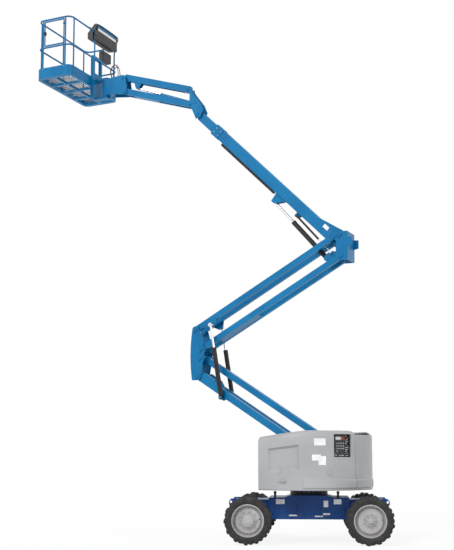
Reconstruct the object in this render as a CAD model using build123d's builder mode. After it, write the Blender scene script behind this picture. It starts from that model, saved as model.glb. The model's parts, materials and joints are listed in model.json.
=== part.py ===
"""An articulating boom lift: wheeled chassis, slewing turntable, double riser, telescoping boom, jib and platform.

Millimetres. +Z is up, the origin is on the floor under the turntable's axis, and +X points at the steered wheels.
The superstructure stands slewed on the chassis, so it is drawn in side planes whose local X points forward
along the machine, local Y points up, and whose offset w runs sideways towards the near side.
"""

from math import atan2, cos, degrees, hypot, radians, sin
import os

from build123d import *

os.makedirs("parts", exist_ok=True)

# Stance of the machine
slew_deg = 160
riser_deg = 33
upper_riser_deg = 29.3
boom_deg = 44.65
jib_deg = 18

# Clearances
pin_play = 0.3
side_play = 6

# Wheels and chassis
wheelbase = 2030
track = 1970
tyre_radius = 405
tyre_width = 310
lug_height = 20
lug_count = 20
rim_radius = 272
rim_wall = 14
kingpin_offset = 225
kingpin_radius = 28
chassis_half_width = 545
chassis_half_length = 1290
chassis_floor = 400
chassis_top = 770
deck_rise = 35
end_depth = 190
chassis_wall = 16
drive_beam = (180, 190)
steer_beam = (150, 150)
axle_flange_inset = 190
steer_arm = 150
tie_rod_radius = 18
tie_down_reach = 58
tie_down_drop = 84
tie_down_radius = 22

# Turntable
bearing_radius = 330
bearing_bore = 250
bearing_height = 48
turntable_floor = 905
base_plate = 25
cover_radius = 1140
cover_wall = 25
cover_bottom = 900
cover_top = 1940
cover_front = 560
cover_inner = 470
tail_half_width = 462
tail_top = 1840
tail_front = -705
bulkhead_offset = 440

# Riser linkage, all pins as forward distance and height
lower_pin = (-541, 1232)
link_pin = (-615, 1572)
knuckle_link_gap = (0, 159)
upper_link_offset = (106, 370)
riser_length = 3160
pin_radius = 32
arm_inner = 106
arm_outer = 170
arm_wall = 8
lower_arm_depth = 125
upper_arm_depth = 105
link_half_width = 60
plate_thickness = 20
boss_radius = 56

# Boom and extension
boom_pivot_offset = (4, 392)
boom_drop = 156
boom_half_width = 88
boom_depth = 202
boom_wall = 7
boom_tube_end = 3421
extension_half_width = 69
extension_depth = 166
extension_wall = 6
tip_reach = 3899

# Cylinders
riser_cylinder_offset = 255
riser_cylinder_radius = 42
riser_rod_radius = 22
boom_cylinder_radius = 44
boom_rod_radius = 27
master_radius = 19
master_offset = 80
master_rod_radius = 10
master_lug_from = 50
master_lug_to = 60
jib_cylinder_radius = 31
jib_rod_radius = 17
barrel_start = 24
gland_length = 36

# Jib
jib_pin = (209, 517)
jib_link_pin = (155, 221)
jib_length = 1530
jib_beam_half_width = 54
jib_beam_depth = 128
jib_link_inner = 62
jib_link_outer = 90
jib_link_depth = 120
jib_plate_inner = 96
jib_plate = 14
jib_pin_radius = 24

# Platform
rotator_reach = 446
platform_near = 728
platform_depth = 802
platform_width = 1830
platform_drop = -87
floor_thickness = 40
toe_height = 211
toe_wall = 6
rail_height = 1223
mid_rail_height = 633
rail_radius = 17
corner_radius = 120

slew = radians(slew_deg)
forward = Vector(cos(slew), sin(slew), 0)
near = Vector(sin(slew), -cos(slew), 0) * -1
up = Vector(0, 0, 1)


def point(u, z, w=0):
    """A point of the superstructure: u forward, z up, w to the near side."""
    return forward * u + up * z + near * w


def side(u=0, z=0, turn=0, w=0):
    """A side plane at u, z, its local X turned up from forward by turn degrees."""
    a = radians(turn)
    return Plane(origin=point(u, z, w), x_dir=forward * cos(a) + up * sin(a), z_dir=near * -1)


def plan(z, u=0, w=0):
    """A level plane at height z, local X forward and local Y to the near side."""
    return Plane(origin=point(u, z, w), x_dir=forward, z_dir=(0, 0, 1))


def polar(length, turn):
    return (length * cos(radians(turn)), length * sin(radians(turn)))


def plus(a, b):
    return (a[0] + b[0], a[1] + b[1])


def minus(a, b):
    return (a[0] - b[0], a[1] - b[1])


def angle_of(v):
    return degrees(atan2(v[1], v[0]))


def slab(face_sketch, w_from, w_to, mode=Mode.ADD):
    """Extrude a sketch drawn on a side plane at w_from as far as w_to."""
    extrude(face_sketch, amount=w_from - w_to, mode=mode)


def bar_profile(plane, length, depth, lift=0, round_end=None):
    """A long bar outline between two pins at 0 and length, with round ends."""
    end = round_end or depth / 2
    with BuildSketch(plane) as profile:
        with Locations((length / 2, lift)):
            Rectangle(length, depth)
        with Locations((0, 0), (length, 0)):
            Circle(end)
    return profile.sketch


def disc(plane, radius, spots=((0, 0),)):
    with BuildSketch(plane) as profile:
        with Locations(*spots):
            Circle(radius)
    return profile.sketch


def outline(plane, points):
    with BuildSketch(plane) as profile:
        with BuildLine():
            Polyline(*points, close=True)
        make_face()
    return profile.sketch


def save(builder, name):
    builder.part.label = name
    export_step(builder.part, f"parts/{name}.step")


# Linkage points at rest, forward distance and height
m1 = plus(lower_pin, polar(riser_length, riser_deg))
m2 = plus(m1, minus(link_pin, lower_pin))
m3 = plus(m2, knuckle_link_gap)
m4 = plus(m3, upper_link_offset)
u3 = plus(m3, polar(riser_length, 180 - upper_riser_deg))
u4 = plus(u3, upper_link_offset)
p0 = plus(u3, boom_pivot_offset)


def boom_point(s, n):
    """A point given along the boom and square to it, from the boom's pivot."""
    return plus(plus(p0, polar(s, boom_deg)), polar(n, boom_deg + 90))


b0 = boom_point(tip_reach, -boom_drop)
j1 = plus(b0, jib_pin)
j2 = plus(b0, jib_link_pin)
k1 = plus(j1, polar(jib_length, jib_deg))
k2 = plus(j2, polar(jib_length, jib_deg))

# Wheels

rim_well = 60


def wheel_plane(x, y_side, out=0):
    """A plane across the wheel's axle; its normal points away from the machine."""
    y = y_side * (track / 2 + out)
    return Plane(origin=(x, y, tyre_radius), x_dir=(1, 0, 0), z_dir=(0, y_side, 0))


def build_tyre(name, x, y_side):
    centre = wheel_plane(x, y_side)
    half = tyre_width / 2
    base = tyre_radius - lug_height
    with BuildPart() as tyre:
        with BuildSketch(Plane(origin=centre.origin, x_dir=(1, 0, 0), z_dir=(0, 0, 1))) as section:
            with BuildLine():
                Polyline(
                    (rim_radius + 1, -half * 0.78),
                    (rim_radius + 30, -half * 0.97),
                    (base - 45, -half),
                    (base, -half * 0.82),
                    (base, half * 0.82),
                    (base - 45, half),
                    (rim_radius + 30, half * 0.97),
                    (rim_radius + 1, half * 0.78),
                    close=True,
                )
            make_face()
        revolve(axis=Axis(centre.origin, (0, 1, 0)))
        for lane in (-1, 1):
            for i in range(lug_count // 2):
                turn = 360 / (lug_count // 2) * (i + (0.5 if lane > 0 else 0))
                lug_at = Plane(
                    origin=centre.origin + Vector(0, lane * half * 0.42, 0),
                    x_dir=(cos(radians(turn)), 0, sin(radians(turn))),
                    z_dir=(-sin(radians(turn)), 0, cos(radians(turn))),
                )
                with BuildSketch(lug_at) as lug:
                    with BuildLine():
                        Polyline(
                            (base - 8, -half * 0.46),
                            (tyre_radius, -half * 0.46),
                            (tyre_radius, half * 0.46),
                            (base - 8, half * 0.46),
                            close=True,
                        )
                    make_face()
                extrude(amount=31, both=True)
    save(tyre, name)
    return tyre


def build_rim(name, x, y_side, driven):
    """A dished disc rim with its hub; the driven ones carry a planetary hub."""
    centre = wheel_plane(x, y_side)
    half = tyre_width / 2 - 14
    dish = half - rim_well
    with BuildPart() as rim:
        with BuildSketch(Plane(origin=centre.origin, x_dir=(1, 0, 0), z_dir=(0, 0, 1))) as section:
            with BuildLine():
                s = y_side
                Polyline(
                    (0, s * (dish - 16)),
                    (rim_radius - 70, s * (dish - 16)),
                    (rim_radius - 34, s * (dish - 46)),
                    (rim_radius - rim_wall, s * (dish - 46)),
                    (rim_radius - rim_wall, -s * half),
                    (rim_radius, -s * half),
                    (rim_radius, s * half),
                    (rim_radius - rim_wall, s * half),
                    (rim_radius - rim_wall, s * (dish - 30)),
                    (rim_radius - 34, s * (dish - 30)),
                    (rim_radius - 70, s * dish),
                    (0, s * dish),
                    close=True,
                )
            make_face()
        revolve(axis=Axis(centre.origin, (0, 1, 0)))
        face = wheel_plane(x, y_side, dish)
        if driven:
            extrude(disc(face, 128), amount=24)
            extrude(disc(face.offset(24), 96), amount=30)
        else:
            extrude(disc(face, 82), amount=26)
            extrude(disc(face.offset(26), 44), amount=20)
        with BuildSketch(face) as nuts:
            with PolarLocations(152 if driven else 110, 9):
                RegularPolygon(12, 6)
        extrude(amount=16)
    save(rim, name)
    return rim


for end, x in (("drive", -wheelbase / 2), ("steer", wheelbase / 2)):
    for where, y_side in (("near", -1), ("far", 1)):
        build_tyre(f"{end}_tyre_{where}", x, y_side)
        build_rim(f"{end}_rim_{where}", x, y_side, end == "drive")

# Chassis

wheel_face = track / 2 + tyre_width / 2 - 14 - rim_well - 16
end_half_width = 400
with BuildPart() as chassis_frame:
    body_lines = [
        (-640, chassis_floor),
        (640, chassis_floor),
        (690, chassis_floor + 90),
        (690, chassis_top),
        (430, chassis_top),
        (300, chassis_top + deck_rise),
        (-300, chassis_top + deck_rise),
        (-430, chassis_top),
        (-690, chassis_top),
        (-690, chassis_floor + 90),
    ]
    with BuildSketch(Plane.XZ) as body:
        with BuildLine():
            Polyline(*body_lines, close=True)
        make_face()
    extrude(amount=chassis_half_width, both=True)
    with BuildSketch(Plane.XY.offset(chassis_floor - 1)) as well:
        Rectangle(1280 - 2 * chassis_wall, 2 * chassis_half_width - 2 * chassis_wall)
    extrude(amount=chassis_top - chassis_floor - 2 * chassis_wall, mode=Mode.SUBTRACT)
    with BuildSketch(Plane.XY.offset(chassis_top - end_depth)) as ends:
        with Locations((-(690 + chassis_half_length) / 2, 0), ((690 + chassis_half_length) / 2, 0)):
            RectangleRounded(chassis_half_length - 690 + 20, 2 * end_half_width, 9)
    extrude(amount=150)
    with BuildSketch(Plane.XZ.offset(-end_half_width)) as lugs:
        for s in (-1, 1):
            with BuildLine():
                Polyline(
                    (s * (chassis_half_length - 60), chassis_top - 180),
                    (s * (chassis_half_length + 55), chassis_top - 180),
                    (s * (chassis_half_length + 95), chassis_top - 120),
                    (s * (chassis_half_length + 95), chassis_top - 70),
                    (s * (chassis_half_length + 55), chassis_top - 25),
                    (s * (chassis_half_length - 60), chassis_top - 25),
                    close=True,
                )
            make_face()
        for s in (-1, 1):
            with Locations((s * (chassis_half_length + tie_down_reach), chassis_top - tie_down_drop)):
                Circle(tie_down_radius, mode=Mode.SUBTRACT)
    extrude(amount=plate_thickness)
    mirror(about=Plane.XZ)
save(chassis_frame, "chassis_frame")

with BuildPart() as drive_axle:
    axle_at = Plane(origin=(-wheelbase / 2, 0, chassis_top - end_depth), x_dir=(1, 0, 0), z_dir=(0, -1, 0))
    with BuildSketch(axle_at) as beam:
        RectangleRounded(*drive_beam, 20, align=(Align.CENTER, Align.MAX))
    flange_y = track / 2 - axle_flange_inset
    extrude(amount=flange_y, both=True)
    for s in (-1, 1):
        flange_at = Plane(origin=(-wheelbase / 2, s * flange_y, tyre_radius), x_dir=(1, 0, 0), z_dir=(0, s, 0))
        extrude(disc(flange_at.offset(-30), 150), amount=60)
        extrude(disc(flange_at.offset(30), 115), amount=wheel_face - flange_y - 30 - pin_play)
save(drive_axle, "drive_axle")

kingpin_y = track / 2 - kingpin_offset
knuckle_height = 160
jaw_thickness = 40
steer_x = wheelbase / 2


def level(x, y, z):
    """A level plane in the chassis, local X to the steered end."""
    return Plane(origin=(x, y, z), x_dir=(1, 0, 0), z_dir=(0, 0, 1))


def level_box(x, y, z, along, across, tall, round_by=4):
    with BuildSketch(level(x, y, z)) as base:
        RectangleRounded(along, across, round_by)
    extrude(base.sketch, amount=tall)


with BuildPart() as steer_axle:
    axle_at = Plane(origin=(steer_x, 0, chassis_top - end_depth), x_dir=(1, 0, 0), z_dir=(0, -1, 0))
    with BuildSketch(axle_at) as beam:
        RectangleRounded(*steer_beam, 15, align=(Align.CENTER, Align.MAX))
    extrude(amount=kingpin_y - 70, both=True)
    jaw = knuckle_height / 2 + 5
    for s in (-1, 1):
        for z in (tyre_radius + jaw, tyre_radius - jaw - jaw_thickness):
            level_box(steer_x, s * (kingpin_y - 33), z, 96, 130, jaw_thickness)
        level_box(steer_x, s * (kingpin_y - 85), tyre_radius - jaw - jaw_thickness, 84, 30, 2 * (jaw + jaw_thickness))
        extrude(disc(level(steer_x, s * kingpin_y, tyre_radius - jaw - 46), kingpin_radius), amount=2 * jaw + 92)
save(steer_axle, "steer_axle")

for where, s in (("near", -1), ("far", 1)):
    with BuildPart() as knuckle:
        with BuildSketch(Plane(origin=(wheelbase / 2, s * kingpin_y, tyre_radius - 80))) as hub:
            Circle(52)
        extrude(amount=160)
        spindle = Plane(origin=(wheelbase / 2, s * kingpin_y, tyre_radius), x_dir=(1, 0, 0), z_dir=(0, s, 0))
        extrude(disc(spindle, 48), amount=wheel_face - kingpin_y - pin_play)
        extrude(disc(spindle.offset(60), 105), amount=25)
        with BuildSketch(Plane(origin=(wheelbase / 2, s * kingpin_y, tyre_radius - 60))) as arm:
            with Locations((-steer_arm / 2, 0)):
                Rectangle(steer_arm, 50)
            with Locations((-steer_arm, 0)):
                Circle(30)
            with Locations((-steer_arm, 0)):
                Circle(16 + pin_play, mode=Mode.SUBTRACT)
        extrude(amount=24)
        with BuildSketch(Plane(origin=(wheelbase / 2, s * kingpin_y, tyre_radius - 80))) as bore:
            Circle(kingpin_radius + pin_play)
        extrude(amount=160, mode=Mode.SUBTRACT)
    save(knuckle, f"steer_knuckle_{where}")

with BuildPart() as tie_rod:
    rod_at = Plane(
        origin=(wheelbase / 2 - steer_arm, 0, tyre_radius - 60 - 30), x_dir=(1, 0, 0), z_dir=(0, 1, 0)
    )
    extrude(disc(rod_at, tie_rod_radius), amount=kingpin_y, both=True)
    for s in (-1, 1):
        with BuildSketch(Plane(origin=(wheelbase / 2 - steer_arm, s * kingpin_y, tyre_radius - 60 - 52))) as eye:
            Circle(28)
        extrude(amount=46)
        extrude(
            disc(Plane(origin=(wheelbase / 2 - steer_arm, s * kingpin_y, tyre_radius - 60 - 20)), 16),
            amount=48,
        )
save(tie_rod, "tie_rod")

# Slewing bearing and turntable

deck = chassis_top + deck_rise
with BuildPart() as swing_bearing:
    with BuildSketch(Plane.XY.offset(deck)) as ring:
        Circle(bearing_radius)
        Circle(bearing_bore, mode=Mode.SUBTRACT)
    extrude(amount=bearing_height)
save(swing_bearing, "swing_bearing")

with BuildPart() as turntable_frame:
    with BuildSketch(Plane.XY.offset(deck + 12)) as spigot:
        Circle(bearing_bore - 0.5)
    extrude(amount=turntable_floor - deck - 12)
    with BuildSketch(Plane.XY.offset(deck + bearing_height + 0.5)) as collar:
        Circle(bearing_radius - 30)
    extrude(amount=turntable_floor - deck - bearing_height - 0.5)
    with BuildSketch(plan(turntable_floor)) as base:
        Circle(cover_radius - cover_wall - 20)
        with Locations((cover_front - cover_wall - 60, 0)):
            Rectangle(3000, 3000, align=(Align.MIN, Align.CENTER), mode=Mode.SUBTRACT)
    extrude(amount=base_plate)
    ear_points = [
        (link_pin[0] - 70, turntable_floor + base_plate - 1),
        (-300, turntable_floor + base_plate - 1),
        (lower_pin[0] + 90, lower_pin[1] + 40),
        (link_pin[0] + 70, link_pin[1] + 10),
        (link_pin[0] - 70, link_pin[1] + 10),
    ]
    ear_at = side(w=arm_outer + side_play)
    slab(outline(ear_at, ear_points), arm_outer + side_play, arm_outer + side_play + plate_thickness)
    slab(disc(ear_at, 72, (lower_pin, link_pin)), arm_outer + side_play, arm_outer + side_play + plate_thickness)
    slab(
        disc(side(w=arm_inner), pin_radius, (lower_pin, link_pin)),
        arm_inner,
        arm_outer + side_play + plate_thickness + 10,
    )
    wall_points = [
        (tail_front + 5, turntable_floor + base_plate - 1),
        (cover_front - 60, turntable_floor + base_plate - 1),
        (cover_front - 60, cover_top - 320),
        (cover_front - 330, cover_top - cover_wall - 40),
        (tail_front + 5, cover_top - cover_wall - 40),
    ]
    slab(outline(side(w=bulkhead_offset), wall_points), bulkhead_offset, bulkhead_offset + 12)
    mirror(about=side())
save(turntable_frame, "turntable_frame")

with BuildPart() as counterweight:
    with BuildSketch(plan(turntable_floor + base_plate)) as tail:
        Circle(cover_radius)
        with Locations((tail_front, 0)):
            Rectangle(3000, 3000, align=(Align.MIN, Align.CENTER), mode=Mode.SUBTRACT)
        for s in (-1, 1):
            with Locations((0, s * tail_half_width)):
                Rectangle(
                    3000,
                    3000,
                    align=(Align.CENTER, Align.MIN if s > 0 else Align.MAX),
                    mode=Mode.SUBTRACT,
                )
    extrude(amount=tail_top - turntable_floor - base_plate)
    fillet(counterweight.edges().group_by(Axis.Z)[-1], 45)
save(counterweight, "counterweight")

with BuildPart() as engine:
    with BuildSketch(plan(turntable_floor + base_plate, -120, -760)) as block:
        RectangleRounded(760, 420, 30)
    extrude(amount=560)
    fillet(engine.edges().group_by(Axis.Z)[-1], 25)
save(engine, "engine")


def build_cover(name, s):
    """A hollow hood over one side of the turntable, open below and towards the arms."""
    with BuildPart() as cover:
        with BuildSketch(plan(cover_bottom)) as hood:
            Circle(cover_radius)
            with Locations((cover_front, 0)):
                Rectangle(3000, 3000, align=(Align.MIN, Align.CENTER), mode=Mode.SUBTRACT)
            with Locations((0, s * cover_inner)):
                Rectangle(
                    3000,
                    3000,
                    align=(Align.CENTER, Align.MAX if s > 0 else Align.MIN),
                    mode=Mode.SUBTRACT,
                )
        extrude(amount=cover_top - cover_bottom)
        flat_front = cover.edges().filter_by(Axis.Z).sort_by(Axis(point(0, 0), forward))[-2:]
        outer_corner = flat_front.sort_by(Axis(point(0, 0), near * s))[-1]
        fillet(outer_corner, 160)
        top_rim = cover.edges().group_by(Axis.Z)[-1]
        inner_edge = top_rim.sort_by(Axis(point(0, 0), near * s))[0]
        fillet([e for e in top_rim if e != inner_edge], 90)
        bottom_face = cover.faces().sort_by(Axis.Z)[0]
        inner_face = cover.faces().sort_by(Axis(point(0, 0), near * s))[0]
        offset(amount=-cover_wall, openings=[bottom_face, inner_face])
    return cover


panel_bottom = 1500
panel_top = 1870
near_cover = build_cover("cover_near", 1)
with BuildPart() as cover_near:
    add(near_cover.part)
    with BuildSketch(plan(panel_bottom)) as window:
        with BuildLine():
            Polyline(
                (0, 0),
                polar(1500, 180 - 31),
                polar(1500, 180 - 46),
                close=True,
            )
        make_face()
    extrude(amount=panel_top - panel_bottom, mode=Mode.SUBTRACT)
save(cover_near, "cover_near")
save(build_cover("cover_far", -1), "cover_far")

with BuildPart() as ground_controls:
    control_turn = 180 - 38.5
    control_at = Plane(
        origin=point(0, (panel_bottom + panel_top) / 2),
        x_dir=forward * cos(radians(control_turn)) + near * sin(radians(control_turn)),
        z_dir=(0, 0, 1),
    )
    with BuildSketch(control_at) as box:
        with Locations((cover_radius - 190, 0)):
            RectangleRounded(130, 230, 12)
    extrude(amount=(panel_top - panel_bottom) / 2 - 14, both=True)
    with BuildSketch(plan(turntable_floor + base_plate)) as stand:
        with Locations(polar(cover_radius - 190, control_turn)):
            Circle(28)
    extrude(amount=(panel_top + panel_bottom) / 2 - 160 - turntable_floor - base_plate)
save(ground_controls, "ground_controls")

# Riser arms


def build_twin_arm(start, turn, depth, lift, ties):
    """Two parallel box arms joined by cross plates where nothing passes between them."""
    length = riser_length
    at = side(*start, turn, arm_inner)
    core = side(*start, turn, arm_inner + arm_wall)
    with BuildPart() as arm:
        slab(bar_profile(at, length, depth, lift, boss_radius), arm_inner, arm_outer)
        with BuildSketch(core) as void:
            with Locations((length / 2, lift)):
                Rectangle(length - 2 * boss_radius - 60, depth - 2 * arm_wall)
        slab(void.sketch, arm_inner + arm_wall, arm_outer - arm_wall, Mode.SUBTRACT)
        slab(disc(at, pin_radius + pin_play, ((0, 0), (length, 0))), arm_inner, arm_outer, Mode.SUBTRACT)
        mirror(about=side())
        for place, height, tall in ties:
            with BuildSketch(side(*start, turn)) as tie:
                with Locations((place, height)):
                    Rectangle(tall, 12)
            extrude(tie.sketch, amount=arm_inner + 1, both=True)
    return arm


lower_arm_core = build_twin_arm(
    lower_pin, riser_deg, lower_arm_depth, 0, ((riser_length / 2, -40, 2500), (riser_length / 2, 40, 2500))
)
riser_base = (2503, -66)
riser_ear_to = arm_outer + 22
with BuildPart() as lower_arm:
    add(lower_arm_core.part)
    gusset_at = side(*lower_pin, riser_deg, arm_inner)
    gusset = [
        (riser_length - 430, lower_arm_depth / 2 - 2),
        (riser_length - 330, lower_arm_depth / 2 + 55),
        (riser_length - 90, lower_arm_depth / 2 + 62),
        (riser_length - 40, lower_arm_depth / 2 - 20),
    ]
    slab(outline(gusset_at, gusset), arm_inner, arm_outer)
    bracket_at = side(*lower_pin, riser_deg, arm_outer - 1)
    bracket = [
        (riser_base[0] - 110, -20),
        (riser_base[0] - 45, riser_base[1] - 40),
        (riser_base[0] + 45, riser_base[1] - 40),
        (riser_base[0] + 110, -20),
    ]
    slab(outline(bracket_at, bracket), arm_outer - 1, riser_ear_to)
    slab(disc(side(*lower_pin, riser_deg, arm_outer), 26, (riser_base,)), arm_outer, riser_cylinder_offset + 40)
    mirror(about=side())
save(lower_arm, "lower_arm")

with BuildPart() as lower_link:
    at = side(*link_pin, riser_deg)
    extrude(bar_profile(at, riser_length, 110, 0, boss_radius), amount=link_half_width, both=True)
    with BuildSketch(at) as void:
        with Locations((riser_length / 2, 0)):
            Rectangle(riser_length - 2 * boss_radius - 60, 110 - 2 * arm_wall)
    extrude(amount=link_half_width - arm_wall, both=True, mode=Mode.SUBTRACT)
    extrude(disc(at, boss_radius, ((0, 0), (riser_length, 0))), amount=arm_outer, both=True)
    extrude(
        disc(at, pin_radius + pin_play, ((0, 0), (riser_length, 0))), amount=arm_outer, both=True, mode=Mode.SUBTRACT
    )
save(lower_link, "lower_link")

upper_lift = 14
upper_link = build_twin_arm(u3, -upper_riser_deg, upper_arm_depth, upper_lift, ((2350, -28, 900),))
save(upper_link, "upper_link")

eye_on_arm = (riser_length - 320, -105)
upper_core = build_twin_arm(u4, -upper_riser_deg, upper_arm_depth, upper_lift, ())
with BuildPart() as upper_arm:
    add(upper_core.part)
    ear_at = side(*u4, -upper_riser_deg, arm_outer - 1)
    ear = [
        (eye_on_arm[0] - 130, -20),
        (eye_on_arm[0] - 40, eye_on_arm[1] - 30),
        (eye_on_arm[0] + 40, eye_on_arm[1] - 30),
        (eye_on_arm[0] + 130, -20),
    ]
    slab(outline(ear_at, ear), arm_outer - 1, riser_ear_to)
    mirror(about=side())
save(upper_arm, "upper_arm")

plate_from = arm_outer + side_play
plate_to = plate_from + plate_thickness
with BuildPart() as mid_knuckle:
    plate_at = side(w=plate_from)
    with BuildSketch(plate_at) as web:
        with BuildLine():
            top = plus(m4, (71, 42))
            bottom = plus(m1, (113, -76))
            ThreePointArc(top, ((top[0] + bottom[0]) / 2 + 38, (top[1] + bottom[1]) / 2), bottom)
            Polyline(bottom, plus(m1, (-10, -76)), plus(m1, (-60, -30)), plus(m2, (-45, -30)), plus(m3, (-62, 0)))
            Polyline(plus(m3, (-62, 0)), plus(m3, (-20, 160)), plus(m4, (-75, -20)), plus(m4, (-40, 70)), top)
        make_face()
    slab(web.sketch, plate_from, plate_to)
    slab(disc(plate_at, 68, (m1, m2, m3, m4)), plate_from, plate_to)
    slab(disc(side(w=arm_inner), pin_radius, (m1, m2, m3, m4)), arm_inner, plate_to + 8)
    mirror(about=side())
    spine = [plus(m3, (175, -260)), plus(m3, (191, -260)), plus(m3, (191, 95)), plus(m3, (175, 95))]
    extrude(outline(side(), spine), amount=plate_from + 2, both=True)
save(mid_knuckle, "mid_knuckle")

cylinder_foot = plus(u3, (323, -3))
master_ear = plus(p0, (235, -290))
inner_ear_from = 49
inner_ear_to = 59
with BuildPart() as upper_knuckle:
    plate_at = side(w=plate_from)
    plate_points = [
        plus(u3, (-119, -78)),
        plus(u3, (75, -78)),
        plus(u3, (101, 60)),
        plus(u4, (-10, -90)),
        plus(u4, (70, -40)),
        plus(u4, (60, 62)),
        plus(p0, (20, 46)),
        plus(p0, (-125, 46)),
        plus(p0, (-125, -60)),
        plus(p0, (-205, -68)),
        plus(p0, (-205, -215)),
        plus(p0, (-125, -235)),
    ]
    slab(outline(plate_at, plate_points), plate_from, plate_to)
    slab(disc(side(w=arm_inner), pin_radius, (u3, u4)), arm_inner, plate_to + 8)
    inner_ear = [
        plus(u3, (-119, -78)),
        plus(u3, (75, -78)),
        plus(cylinder_foot, (15, -52)),
        plus(cylinder_foot, (55, -10)),
        plus(cylinder_foot, (35, 50)),
        plus(master_ear, (35, 10)),
        plus(master_ear, (0, 24)),
        plus(u3, (40, 95)),
        plus(u3, (-119, 95)),
    ]
    slab(outline(side(w=inner_ear_from), inner_ear), inner_ear_from, inner_ear_to)
    mirror(about=side())
    extrude(disc(side(), pin_radius, (p0,)), amount=plate_to + 8, both=True)
    extrude(disc(side(), 28, (cylinder_foot,)), amount=inner_ear_to, both=True)
    rear_web = [
        plus(u3, (-119, -78)),
        plus(u3, (-103, -78)),
        plus(p0, (-109, 40)),
        plus(p0, (-125, 40)),
    ]
    extrude(outline(side(), rear_web), amount=plate_from + 2, both=True)
save(upper_knuckle, "upper_knuckle")

# Telescoping boom

boom_at = side(*p0, boom_deg)
extension_inner_end = 2050
pad_gap = 0.3


def box_section(s_from, s_to, n_centre, half_width, depth, mode=Mode.ADD, round_by=10):
    """A box lying along the boom between two distances from its pivot."""
    start = plus(p0, polar(s_from, boom_deg))
    across = Plane(
        origin=point(*plus(start, polar(n_centre, boom_deg + 90))),
        x_dir=near,
        z_dir=forward * cos(radians(boom_deg)) + up * sin(radians(boom_deg)),
    )
    with BuildSketch(across) as section:
        RectangleRounded(2 * half_width, depth, round_by)
    extrude(section.sketch, amount=s_to - s_from, mode=mode)


boom_eye = (1496, -398)
master_eye = (936, -305)
tube_half_width = boom_half_width - 6
with BuildPart() as boom_tube:
    box_section(-20, boom_tube_end, -boom_drop, tube_half_width, boom_depth)
    root = [(-62, -20), (-30, -boom_drop - 101), (430, -boom_drop - 101), (560, -boom_drop + 101), (60, 60), (-20, 58)]
    root_at = side(*p0, boom_deg, tube_half_width - 1)
    slab(outline(root_at, root), tube_half_width - 1, boom_half_width)
    slab(disc(root_at, 60), tube_half_width - 1, boom_half_width)
    mirror(about=side())
    extrude(disc(boom_at, 52), amount=boom_half_width, both=True)
    box_section(
        60, boom_tube_end + 1, -boom_drop, tube_half_width - boom_wall, boom_depth - 2 * boom_wall, Mode.SUBTRACT, 5
    )
    box_section(boom_tube_end - 190, boom_tube_end, -boom_drop, tube_half_width + 7, boom_depth + 16)
    box_section(
        boom_tube_end - 191,
        boom_tube_end + 1,
        -boom_drop,
        extension_half_width + pad_gap,
        extension_depth + 2 * pad_gap,
        Mode.SUBTRACT,
        5,
    )
    extrude(disc(boom_at, pin_radius + pin_play), amount=boom_half_width, both=True, mode=Mode.SUBTRACT)
    under = -boom_drop - boom_depth / 2
    saddle = [
        (boom_eye[0] - 190, under + 2),
        (boom_eye[0] - 40, boom_eye[1] - 28),
        (boom_eye[0] + 34, boom_eye[1] - 28),
        (boom_eye[0] + 60, under + 2),
    ]
    master_lug = [
        (master_eye[0] - 45, under + 2),
        (master_eye[0] - 20, master_eye[1] - 24),
        (master_eye[0] + 20, master_eye[1] - 24),
        (master_eye[0] + 45, under + 2),
    ]
    for points, w_from, w_to in ((saddle, 38, 54), (master_lug, master_lug_from, master_lug_to)):
        for w in (-w_to, w_from):
            slab(outline(side(*p0, boom_deg, w), points), w, w + w_to - w_from)
    master_pin_at = side(*p0, boom_deg, master_lug_from)
    slab(disc(master_pin_at, 14, (master_eye,)), master_lug_from, master_offset + master_radius)
save(boom_tube, "boom_tube")

with BuildPart() as boom_extension:
    box_section(extension_inner_end, tip_reach - 70, -boom_drop, extension_half_width, extension_depth)
    box_section(
        extension_inner_end - 1,
        tip_reach - 84,
        -boom_drop,
        extension_half_width - extension_wall,
        extension_depth - 2 * extension_wall,
        Mode.SUBTRACT,
        4,
    )
    for w in (-62, 44):
        nose = [(tip_reach - 72, -boom_drop - 80), (tip_reach - 72, -boom_drop + 80), (tip_reach + 30, -boom_drop + 40)]
        nose.append((tip_reach + 30, -boom_drop - 40))
        slab(outline(side(*p0, boom_deg, w), nose), w, w + 18)
    extrude(disc(boom_at, 50, ((tip_reach, -boom_drop),)), amount=90, both=True)
    extrude(
        disc(boom_at, jib_pin_radius + 6 + pin_play, ((tip_reach, -boom_drop),)),
        amount=90,
        both=True,
        mode=Mode.SUBTRACT,
    )
save(boom_extension, "boom_extension")

with BuildPart() as hose_track:
    with BuildSketch(side(*p0, boom_deg, -84)) as tray:
        with Locations(((1620 + boom_tube_end - 200) / 2, under - 26)):
            Rectangle(boom_tube_end - 200 - 1620, 50)
    slab(tray.sketch, -84, -10)
save(hose_track, "hose_track")

# Cylinders, each barrel on its own pin and each rod in its barrel


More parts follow.
